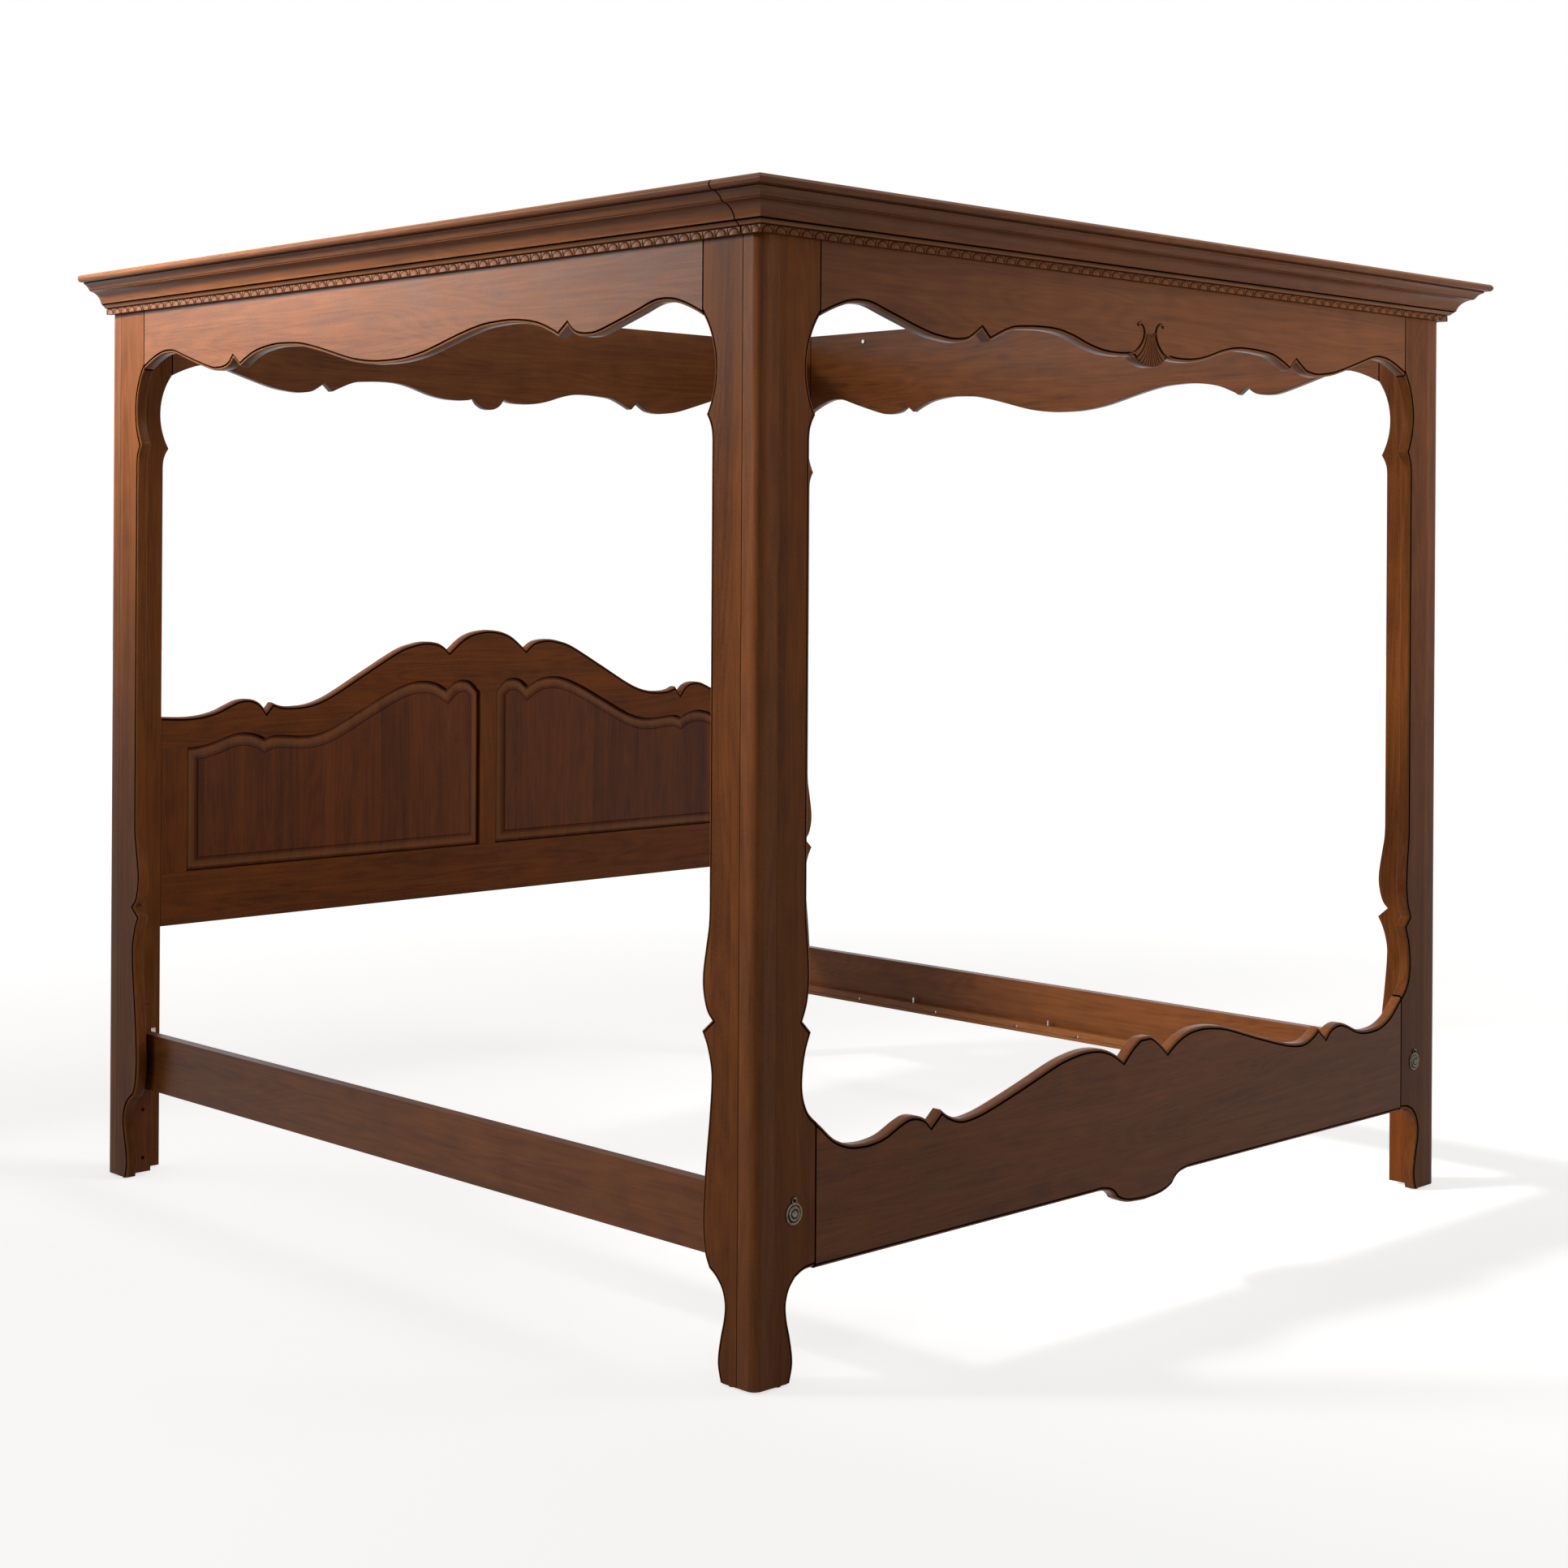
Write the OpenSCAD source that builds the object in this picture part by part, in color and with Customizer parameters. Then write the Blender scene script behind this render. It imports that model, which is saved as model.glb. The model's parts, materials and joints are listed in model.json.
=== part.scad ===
// Four-poster canopy bed with scroll-cut L-shaped posts, a moulded cornice and a panelled headboard.
// All sizes in mm. Origin: on the floor under the middle of the bed, cornice included. +X is to the
// right seen from the foot, +Y runs from foot to head, +Z is up. Outlines are curves through points.

/* [Overall] */
// Width over the post faces
bed_width = 2124; // [1600:1:2300]
// Length over the post faces
bed_length = 2126; // [1900:1:2400]
// Height to the top of the cornice
bed_height = 2030; // [1900:1:2400]
// Thickness of post boards, valances and footboard
board_t = 24; // [20:1:30]
// Height of the glides under the posts
glide_h = 4; // [2:0.5:8]

/* [Posts] */
// Side of the square corner column
column_w = 43; // [38:1:50]
// Radius of the column's outer corner
column_r = 18; // [3:1:30]
// How far the column lies behind the faces of the boards
column_set = 1.5; // [0:0.5:4]
// Width of a post board at its seam with a valance, from the outer corner
seam_u = 142.7; // [130:0.1:160]
// Width of a post board along its long straight edge, from the outer corner
neck_u = 120.4; // [114:0.1:128]
// Height of the cusp over the foot
hip_z = 190.5; // [175:0.5:210]
// Height of the notch under the knee
knee_z = 613.5; // [580:0.5:660]
// Height of the tooth below that notch, measured down from it
tooth_h = 20.5; // [12:0.5:30]
// Height at which the long straight edge starts
neck_z0 = 800; // [740:1:900]
// Height of the bite between the long straight edge and the seam under a valance
arch_h = 213; // [190:1:240]
// Depth of the inner corner blocks, from the end board's back
block_d = 52; // [40:1:60]
// Height of the top of the inner corner blocks
block_z1 = 384; // [340:1:420]
// Height of the underside of the inner corner blocks
block_z0 = 8; // [5:1:30]

/* [Valances] */
// Height of a valance at its seam with a post
valance_h = 210; // [190:1:260]
// Top of the post boards and valances below the cornice top
top_gap = 4; // [0:1:20]
// Top of the head valance below the cornice top
head_gap = 12; // [0:1:30]
// Half width of the shell at its fan
shell_w = 46; // [38:1:52]
// How far the shell stands out from the valance
shell_t = 4; // [2:0.5:8]

/* [Cornice] */
// Height of the cornice
cornice_h = 84; // [60:1:110]
// Overhang of the cornice beyond the post faces
cornice_o = 85; // [60:1:110]
// Length of the mitred returns behind the foot face of the posts
cornice_return = 37; // [20:1:80]
// Radius of the screws that hold the cornice
cornice_screw_r = 2.2; // [1.5:0.1:3]
// Reach of those screws into the cornice
cornice_bite = 20; // [12:1:24]

/* [Headboard] */
// Underside of the headboard
head_z0 = 550; // [480:1:650]
// Height of the headboard's bottom rail
head_rail_h = 121; // [80:1:160]
// Width of the headboard's outer stiles
stile_w = 67; // [50:1:90]
// Width of the headboard's middle stile
muntin_w = 51; // [40:1:80]
// Depth of the groove that holds the panels
groove_d = 10; // [6:1:14]
// Thickness of the panel's tongue in the groove
tongue_t = 7; // [5:0.5:9]
// Clearance of a tongue at each side of its groove
tongue_gap = 0.05; // [0.02:0.01:0.3]
// Room for a panel to swell at the bottom of its groove
swell_gap = 1; // [0.2:0.1:3]
// Width of the sloped border round a panel's field
border_w = 31; // [20:1:45]
// How far a panel's field lies behind the frame's face
field_set = 1.5; // [0:0.5:3]

/* [Footboard] */
// Height of the seam between footboard and post
foot_h = 250.5; // [220:0.5:290]
// Underside of the footboard below the cusp
foot_lip = 3.5; // [0:0.5:10]

/* [Side rails] */
// Thickness of a side rail
rail_t = 24; // [18:1:28]
// Set-back of a rail's face behind the column
rail_set = 0.5; // [0:0.5:4]
// Underside of the side rails
rail_z0 = 199; // [185:1:225]
// Top of the side rails
rail_z1 = 323.5; // [322:0.5:400]
// Thickness of the cleat inside a side rail
cleat_t = 20; // [15:1:28]
// Height of the cleat
cleat_h = 25; // [22:1:30]
// Height of the groove along the cleat's face above its underside
cleat_groove_z = 9; // [6:0.5:10]
// Distance of the first cleat screws from the middle of the bed
cleat_mid = 100; // [60:1:140]
// Spacing of the cleat screws
cleat_pitch = 279; // [200:1:300]
// Radius of the slat pins
pin_r = 3; // [2:0.5:4]
// Height of the slat pins above the cleat
pin_h = 14; // [8:1:25]
// Depth of a slat pin in the cleat
pin_depth = 8.5; // [5:0.5:9]
// Spacing of the slat pins
pin_pitch = 463; // [300:1:480]
// Thickness of the steel brackets inside the rail ends
bracket_t = 3; // [2:0.5:4]
// Height of a bracket
bracket_h = 60; // [48:1:62]
// Length of a bracket along its rail
bracket_l = 60; // [55:1:90]
// Radius of the wood screws in blocks, cleats and brackets
screw_r = 1.9; // [1.5:0.1:2.3]
// Radial clearance of a screw or pin in its hole
pilot_gap = 0.02; // [0.01:0.01:0.1]

/* [Bed bolts and covers] */
// Distance of a bed bolt from the rail's inner face
bolt_in = 23; // [21:0.5:26]
// Height of the bed bolts
bolt_z = 290; // [262:1:292]
// Radius of a bed bolt
bolt_r = 4; // [3:0.5:5]
// Clearance round a bed bolt
bolt_gap = 0.5; // [0.2:0.1:1]
// Radius of the counterbore for the bolt head
sink_r = 12; // [11:0.5:14]
// Depth of the counterbore
sink_d = 11; // [9:0.5:13]
// Radius of the bolt cover's disc
cover_r = 19; // [18:0.5:22]
// Thickness of the bolt cover's rim
cover_t = 2.4; // [1.5:0.1:3.5]
// Height of the dome in the middle of the disc
dome_h = 5.4; // [4.5:0.1:8]
// Drop from the pivot screw to the middle of the disc
cover_drop = 22.3; // [20:0.1:28]
// Air gap between cover and board
cover_gap = 0.3; // [0.1:0.05:1]
// Radius of the pivot screw
pivot_r = 1.6; // [1:0.1:2.2]
// Radial play of the cover on its screw
pivot_play = 0.06; // [0.02:0.01:0.1]

/* [Hidden] */
$fn = 48;
hw = bed_width / 2;
hl = bed_length / 2;
top_z = bed_height - top_gap;
head_top_z = bed_height - head_gap;
arch_z = top_z - valance_h;
open_w = hw - neck_u;
seam_x = hw - seam_u;
seam_y = hl - seam_u;
rail_in = column_w + rail_set;
cleat_in = rail_in + rail_t;
end_in = board_t + block_d;
bolt_u = cleat_in + bolt_in;
pivot_z = bolt_z + cover_drop;
corners = [[-1, -1], [1, -1], [-1, 1], [1, 1]];
// Moves the middle of the whole bed, from the cornice at the foot to the covers at the head, to y = 0.
middle_y = (cornice_o - cover_gap - dome_h) / 2;

wood = "#6e4128";
wood_dark = "#4a2a16";
wood_pale = "#a8743f";
steel = "#b9b9b4";
pewter = "#5b564c";

// Curves.
// A smooth curve through the named points, n steps between two points.
function smooth(p, n = 5) = let (m = len(p) - 1) concat(
    [for (i = [0 : m - 1], s = [0 : n - 1])
        let (t = s / n, a = p[max(i - 1, 0)], b = p[i], c = p[i + 1], d = p[min(i + 2, m)])
        0.5 * (2 * b + t * (c - a) + t * t * (2 * a - 5 * b + 4 * c - d)
            + t * t * t * (3 * b - a - 3 * c + d))],
    [p[m]]);
// The arc from a through b to c, in n steps.
function arc3(a, b, c, n = 16) = let (
    d = 2 * (a[0] * (b[1] - c[1]) + b[0] * (c[1] - a[1]) + c[0] * (a[1] - b[1])),
    x = ((a * a) * (b[1] - c[1]) + (b * b) * (c[1] - a[1]) + (c * c) * (a[1] - b[1])) / d,
    y = ((a * a) * (c[0] - b[0]) + (b * b) * (a[0] - c[0]) + (c * c) * (b[0] - a[0])) / d,
    o = [x, y], r = norm(a - o),
    t0 = atan2(a[1] - y, a[0] - x), t1 = atan2(b[1] - y, b[0] - x), t2 = atan2(c[1] - y, c[0] - x),
    s1 = (t1 - t0 + 720) % 360, s2 = (t2 - t0 + 720) % 360, sweep = s1 < s2 ? s2 : s2 - 360)
    [for (i = [0 : n]) o + r * [cos(t0 + sweep * i / n), sin(t0 + sweep * i / n)]];
function rev(p) = [for (i = [len(p) - 1 : -1 : 0]) p[i]];
function mir(p) = [for (q = p) [-q[0], q[1]]];
// Points a to b of an outline, or from a to its end.
function part(p, a, b = -1) = [for (i = [a : b < 0 ? len(p) - 1 : b]) p[i]];
// Stretches heights so that the first point lies at z0 and the last at z1.
function tall(p, z0, z1) = let (a = p[0][1], b = p[len(p) - 1][1])
    [for (q = p) [q[0], z0 + (q[1] - a) * (z1 - z0) / (b - a)]];
// Stretches widths so that the first point lies at x0 and the last at x1.
function wide(p, x0, x1) = let (a = p[0][0], b = p[len(p) - 1][0])
    [for (q = p) [x0 + (q[0] - a) * (x1 - x0) / (b - a), q[1]]];
function move(p, d) = [for (q = p) q + d];
// Leaves out points that repeat their neighbour.
function clean(p) = let (m = len(p)) [for (i = [0 : m - 1]) if (norm(p[i] - p[(i + 1) % m]) > 0.02) p[i]];

// Scrolled edges of the posts, foot to top: [distance past the long straight edge, height].
toe = tall([[-34.4, 4], [-28, 28], [-28, 50], [-34, 82], [-41.4, 112], [-43.4, 138], [-36.4, 162],
    [-22.4, 179]], glide_h, hip_z - 11.5);
side_hip = [[-22.4, hip_z - 11.5], [-14.4, hip_z - 5.5], [-4.9, hip_z]];
side_belly = tall([[-4.9, 190], [6.6, 216], [12.1, 255], [11.6, 300], [5.6, 372], [-1.9, 440],
    [-6.9, 502], [-5.9, 532], [3.6, 567], [17.1, 593]], hip_z, knee_z - tooth_h);
side_knee = tall([[-7.9, 613], [5.6, 629], [14.6, 660], [15.6, 692], [8.6, 735], [1.9, 772], [0, 800]],
    knee_z, neck_z0);
seam_d = seam_u - neck_u;
foot_hip = [[-22.4, hip_z - 11.5], [-2.4, hip_z - 2.5], [seam_d, hip_z]];
foot_belly = tall([[seam_d, 441], [5.6, 458], [-5.4, 486], [-6.9, 518], [-0.4, 558], [12.6, 592]],
    hip_z + foot_h, knee_z - tooth_h);
foot_knee = tall([[-7.9, 613], [3.1, 642], [8.6, 685], [5.6, 740], [1.1, 782], [0, 800]], knee_z, neck_z0);
bite_z = arch_z - arch_h;
neck = concat(smooth([[0, bite_z], [1.6, bite_z + 17], [7.1, bite_z + 32], [14.4, bite_z + 44]]),
    arc3([14.4, bite_z + 44], [-7, arch_z - 95], [seam_d, arch_z]));
function from_corner(p) = move(p, [neck_u, 0]);
side_edge = from_corner(concat(smooth(toe), smooth(side_hip), smooth(side_belly), smooth(side_knee), neck));
foot_edge = from_corner(concat(smooth(toe), smooth(foot_hip), smooth(foot_belly), smooth(foot_knee), neck));
head_edge = from_corner(concat([[0, glide_h]], neck));

// Lower edges of half a valance from its middle part outwards: [distance from the middle, height over
// the seam's lower end].
middle_w = shell_w + 20;
end_wave = wide([[66, -15.5], [93, -17.5], [140, -16], [186, -8], [240, 7.5], [280, 15], [320, 17],
    [372, 15], [420, 9], [478, -14.5], [500, 5], [520, -8], [539, -17.4], [570, -21.6], [604, -19.7],
    [652, -12], [744, 14], [790, 27.5], [820, 30], [850, 26.5], [885, 15], [919, 0]], middle_w, seam_x);
side_wave = wide([[0, -34], [46, -33], [93, -28], [140, -19.5], [232, 3], [297, 16], [344, 20],
    [400, 20.5], [465, 12], [511, -4], [530, -13.6], [556, 5.5], [568, -6], [586, -14], [615, -17.2],
    [651, -13], [744, 13.5], [790, 28], [820, 31], [850, 27.5], [885, 16], [920, 0]], 0, seam_y);
// Both turn sharply at the inner notch and again at the tooth after it.
function wave_edge(p, notch) =
    move(concat(smooth(part(p, 0, notch)), smooth(part(p, notch + 1))), [0, arch_z]);
end_edge = wave_edge(end_wave, 9);
valance_side_edge = wave_edge(side_wave, 10);
foot_middle = move(arc3([-shell_w - 8, -17], [0, -34], [shell_w + 8, -17], 18), [0, arch_z]);
head_middle = move(smooth([[-46, -9], [-35, -24], [-18, -34], [0, -37], [18, -34], [35, -24], [46, -9]]),
    [0, arch_z]);

// Edges of half the footboard, from the middle outwards: [distance, height over the seam's end].
foot_scroll = wide([[0, 26.5], [20, 25], [46, 9], [70, -11], [102, 8], [140, 20.5], [186, 24],
    [232, 19.5], [280, 9.5], [372, -18], [465, -43.5], [511, -52.5], [545, -53.5], [576, -43],
    [596.7, -29.5], [624.6, -52.5], [643, -37], [674, -29.5], [702, -35], [744, -52], [772, -57.5],
    [802, -58.5], [837, -54], [872, -39], [902, -14], [919, 0]], 0, seam_x);
foot_top = move(concat(smooth(part(foot_scroll, 0, 3)), smooth(part(foot_scroll, 3, 14)),
    smooth(part(foot_scroll, 15))), [0, hip_z + foot_h]);
foot_drop = [[0, -40], [45, -37], [72, -31], [90, -23], [99, -13], [114, -4.5], [139, 0]];
foot_bottom = move(concat(smooth(part(foot_drop, 0, 3)), smooth(part(foot_drop, 3)), [[seam_x, 0]]),
    [0, hip_z - foot_lip]);

// Crest of half the headboard and lower edge of its top rail over a panel: [distance from the middle,
// height over the headboard's underside].
crest_scroll = wide([[0, 667], [28, 664.5], [56, 658], [84, 644.5], [122.7, 615], [139, 627.5],
    [160, 637], [195, 640.5], [232, 635.5], [279, 621], [372, 573], [465, 523.5], [511, 504], [550, 495],
    [595, 493], [623, 496.5], [643, 504], [660, 484], [678, 504], [703, 514], [734, 513], [762, 503],
    [795, 489.5], [837, 480.5], [883, 478], [941.6, 481]], 0, open_w);
crest = move(concat(smooth(part(crest_scroll, 0, 4)), smooth(part(crest_scroll, 4, 16)),
    smooth(part(crest_scroll, 17))), [0, head_z0]);
stile_x = open_w - stile_w;
muntin_x = muntin_w / 2;
muntin_z1 = head_z0 + 510;
stile_z1 = head_z0 + 407;
eaves_scroll = wide([[25.5, 510], [42, 527], [57, 538], [74, 542], [93, 541.5], [112, 535], [130, 520],
    [158, 535], [186, 541.5], [214, 543], [242, 540], [279, 529], [325, 509.6], [372, 486.7], [446, 450],
    [483, 434], [520, 424], [558, 421.5], [605, 425], [640, 426], [662, 419.5], [678, 428], [706, 435],
    [734, 436], [762, 431], [799, 419], [837, 410.5], [874.6, 407]], muntin_x, stile_x);
eaves = move(concat(smooth(part(eaves_scroll, 0, 6)), smooth(part(eaves_scroll, 6, 20)),
    smooth(part(eaves_scroll, 20))), [0, head_z0]);
panel_z0 = head_z0 + head_rail_h;
// The panel's opening, grown by d at the sides, the foot and the top.
function panel_outline(d) = concat([[stile_x + d, panel_z0 - d], [muntin_x - d, panel_z0 - d],
    [muntin_x - d, muntin_z1 + d]], move(eaves, [0, d]), [[stile_x + d, stile_z1 + d]]);

// Section of the cornice, drawn 85 wide and 84 high: [overhang, height above its underside].
cornice_section = concat([[0, 0], [11.5, 0], [11.5, 13], [17, 14.5], [17, 17.5], [21, 19], [24, 21]],
    arc3([26, 22], [37, 42], [54, 49.5], 9), arc3([56, 51.5], [62, 60], [70, 64.5], 6),
    [[70, 68], [77, 68]], arc3([77, 68], [85, 76], [77, 84], 10), [[0, 84]]);
cornice = [for (q = cornice_section) [q[0] * cornice_o / 85, q[1] * cornice_h / 84]];

// Building blocks.
// A board facing the foot: outline [x, z], front face at y0, thickness t.
module board_y(p, y0, t) translate([0, y0 + t, 0]) rotate([90, 0, 0]) linear_extrude(t) polygon(clean(p));
// A board facing sideways: outline [y, z], left face at x0, thickness t.
module board_x(p, x0, t) translate([x0, 0, 0]) rotate([90, 0, 90]) linear_extrude(t) polygon(clean(p));
module box(a, b) translate(a) cube(b - a);
// Rods along Y and along X.
module rod_y(x, z, y0, y1, r, n = 48) translate([x, y1, z]) rotate([90, 0, 0])
    cylinder(r = r, h = y1 - y0, $fn = n);
module rod_x(y, z, x0, x1, r, n = 48) translate([x0, y, z]) rotate([0, 90, 0])
    cylinder(r = r, h = x1 - x0, $fn = n);
// Puts a part drawn in the left foot corner, with that corner as its origin, into the corner of c.
module corner(c) mirror([c[0] > 0 ? 1 : 0, 0, 0]) mirror([0, c[1] > 0 ? 1 : 0, 0])
    translate([-hw, -hl, 0]) children();
module each_corner() for (c = corners) corner(c) children();
module place() translate([0, middle_y, 0]) children();

// Posts.
module column_part() color(wood) difference() {
    box([column_set, column_set, glide_h], [column_w, column_w, top_z]);
    translate([column_set, column_set, 0]) difference() {
        translate([-1, -1, 0]) cube([column_r + 1, column_r + 1, top_z + 1]);
        translate([column_r, column_r, -1]) cylinder(r = column_r, h = top_z + 3, $fn = 64);
    }
}
module side_board_part() color(wood)
    board_x(concat([[column_w, glide_h]], side_edge, [[seam_u, top_z], [column_w, top_z]]), 0, board_t);
screw_hole_r = screw_r + pilot_gap;
block_screw_u = column_w + 5;
block_screw_z = [block_z0 + 32, block_z0 + 141, block_z1 - 29];
block_screw_sink = block_d / 2;
screw_bite = 11;
head_r = 3.7;
head_hole_r = 4.2;
head_h = 2.5;
module end_board_part(edge) color(wood) difference() {
    board_y(concat([[column_w, glide_h]], edge, [[seam_u, top_z], [column_w, top_z]]), 0, board_t);
    rod_y(bolt_u, bolt_z, -1, sink_d, sink_r);
    rod_y(bolt_u, bolt_z, -1, board_t + 1, bolt_r + bolt_gap);
    rod_y(bolt_u, pivot_z, -1, pivot_end + 1, pivot_r + pilot_gap, 32);
    for (z = block_screw_z)
        rod_y(block_screw_u, z, board_t - screw_bite - 1, board_t + 1, screw_hole_r, 32);
}
// A corner block fills the corner behind the column, flush with the rail's inner face.
module block_part() color(wood_dark) difference() {
    translate([0, 0, block_z0]) linear_extrude(block_z1 - block_z0)
        polygon([[column_w, board_t], [cleat_in, board_t], [cleat_in, end_in], [board_t, end_in],
            [board_t, column_w], [column_w, column_w]]);
    for (z = block_screw_z) {
        rod_y(block_screw_u, z, end_in - block_screw_sink, end_in + 1, head_hole_r, 32);
        rod_y(block_screw_u, z, 0, end_in + 1, screw_hole_r, 32);
    }
    bracket_holes();
}
module block_screws() color(steel) each_corner() for (z = block_screw_z) {
    rod_y(block_screw_u, z, board_t - screw_bite, end_in - block_screw_sink, screw_r, 32);
    rod_y(block_screw_u, z, end_in - block_screw_sink, end_in - block_screw_sink + head_h, head_r, 32);
}
// Glides under the column and under both boards of a post.
module glides() color(pewter) each_corner() let (u = (column_w + neck_u + toe[0][0]) / 2) {
    translate([column_w / 2, column_w / 2, 0]) cylinder(r = 9, h = glide_h);
    translate([u, board_t / 2, 0]) cylinder(r = 7, h = glide_h);
    translate([board_t / 2, u, 0]) cylinder(r = 7, h = glide_h);
}

// Canopy.
cornice_screw_z = bed_height - cornice_h / 3;
// Places of the cornice screws along half a valance, as parts of its length.
screw_places = [-0.777, -0.26, 0.26, 0.777];
module cornice_holes() let (r = cornice_screw_r + pilot_gap, reach = cornice_bite + 1) {
    for (p = screw_places) rod_y(p * seam_x, cornice_screw_z, -hl - reach, -hl + board_t + 1, r, 32);
    for (p = screw_places, s = [0, 1]) mirror([s, 0, 0])
        rod_x(p * seam_y, cornice_screw_z, -hw - reach, -hw + board_t + 1, r, 32);
}
module cornice_screws() color(steel) for (p = screw_places) {
    rod_y(p * seam_x, cornice_screw_z, -hl - cornice_bite, -hl + board_t, cornice_screw_r, 32);
    rod_y(p * seam_x, cornice_screw_z, -hl + board_t, -hl + board_t + 3, 5, 32);
    for (s = [0, 1]) mirror([s, 0, 0]) {
        rod_x(p * seam_y, cornice_screw_z, -hw - cornice_bite, -hw + board_t, cornice_screw_r, 32);
        rod_x(p * seam_y, cornice_screw_z, -hw + board_t, -hw + board_t + 3, 5, 32);
    }
}
module valance_end(y0, middle, z1) color(wood) difference() {
    board_y(concat(end_edge, [[seam_x, z1], [-seam_x, z1]], rev(mir(end_edge)), middle), y0, board_t);
    cornice_holes();
}
module valance_side(x0) color(wood) difference() {
    board_x(concat(valance_side_edge, [[seam_y, top_z], [-seam_y, top_z]], rev(mir(valance_side_edge))),
        x0, board_t);
    cornice_holes();
}
// The shell: a fan under a waist, drawn as half an outline from the fan's tip up to the waist.
shell_side = smooth([[shell_w, -20.5], [36, -13], [24, 1], [18, 18], [16.5, 34]], 4);
module shell() color(wood) board_y(move(concat(arc3([-shell_w, -20.5], [0, -34], [shell_w, -20.5], 24),
    shell_side, arc3([15.5, 38], [0, 31], [-15.5, 38], 8), rev(mir(shell_side))), [0, arch_z]),
    -hl - shell_t, shell_t);

// A length of cornice along +X from x0 to x1, its back in the plane y = 0, its overhang to -Y.
module cornice_run(x0, x1) translate([x0, 0, bed_height - cornice_h]) rotate([90, 0, 90])
    linear_extrude(x1 - x0) polygon(mir(clean(cornice)));
// The same along Y, overhanging to -X from the plane x = 0.
module cornice_run_y(y0, y1) rotate([0, 0, -90]) cornice_run(-y1, -y0);
module plan(p) translate([0, 0, bed_height - cornice_h - 1]) linear_extrude(cornice_h + 2) polygon(p);
module cornice_return_left(o) intersection() {
    translate([-hw, 0, 0]) cornice_run_y(-hl - o, -hl + cornice_return);
    plan([[-hw, -hl], [-hw - o, -hl - o], [-hw - o, -hl + cornice_return], [-hw, -hl + cornice_return]]);
}
module cornice_foot() color(wood) let (o = cornice_o + 1) difference() {
    union() {
        intersection() {
            translate([0, -hl, 0]) cornice_run(-hw - o, hw + o);
            plan([[-hw, -hl], [hw, -hl], [hw + o, -hl - o], [-hw - o, -hl - o]]);
        }
        cornice_return_left(o);
        mirror([1, 0, 0]) cornice_return_left(o);
    }
    cornice_holes();
}
module cornice_side() color(wood) difference() {
    translate([-hw, 0, 0]) cornice_run_y(-hl + cornice_return, hl);
    cornice_holes();
}

// Headboard: its face looks at the foot, its back lies in the plane of the head posts' boards.
head_y = hl - board_t;
tongue_y = head_y + (board_t - tongue_t) / 2;
field_h = tongue_y - head_y - field_set;
module grooves() for (s = [0, 1]) mirror([s, 0, 0])
    board_y(panel_outline(groove_d), tongue_y - tongue_gap, tongue_t + 2 * tongue_gap);
module head_crest() color(wood_dark) difference() {
    board_y(concat(crest, [[open_w, stile_z1]], rev(eaves), mir(eaves), [[-open_w, stile_z1]],
        rev(mir(crest))), head_y, board_t);
    grooves();
}
module head_bottom_rail() color(wood_dark) difference() {
    box([-open_w, head_y, head_z0], [open_w, hl, panel_z0]);
    grooves();
}
module head_stile_left() color(wood_dark) difference() {
    box([-open_w, head_y, panel_z0], [-stile_x, hl, stile_z1]);
    grooves();
}
module head_stile_right() mirror([1, 0, 0]) head_stile_left();
module head_muntin() color(wood_dark) difference() {
    box([-muntin_x, head_y, panel_z0], [muntin_x, hl, muntin_z1]);
    grooves();
}
// Steps of the panel's sloped border: [inset as a part of its width, height as a part of the field's].
border = [[0.02, 0.3], [0.33, 0.45], [0.67, 0.65], [1, 1]];
module head_panel_right() color(wood_dark) {
    board_y(panel_outline(groove_d - swell_gap), tongue_y, tongue_t);
    for (b = border) translate([0, tongue_y, 0]) rotate([90, 0, 0]) linear_extrude(b[1] * field_h)
        offset(delta = -b[0] * border_w) polygon(clean(panel_outline(0)));
}
module head_panel_left() mirror([1, 0, 0]) head_panel_right();

module footboard() color(wood)
    board_y(concat(foot_top, rev(foot_bottom), mir(foot_bottom), rev(mir(foot_top))), -hl, board_t);

// Side rails, drawn on the left. They end at the corner blocks.
rail_y = hl - end_in;
cleat_x = -hw + cleat_in;
cleat_x1 = cleat_x + cleat_t;
cleat_z1 = rail_z0 + cleat_h;
cleat_screw_z = rail_z0 + 12;
cleat_screw_y = [for (s = [-1, 1], i = [0 : 4]) let (y = cleat_mid + i * cleat_pitch)
    if (y < rail_y - 30) s * y];
cleat_sink = 5;
pin_y = [for (i = [-3 : 3]) if (abs(i) * pin_pitch < rail_y - 30) i * pin_pitch];
pin_in = cleat_in + cleat_t * 0.6;
bracket_w = bolt_in + 17;
bracket_screw_y = [end_in - 26, end_in + 20, end_in + 45];
bracket_screw_z = [bolt_z - 18, bolt_z + 18];
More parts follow.
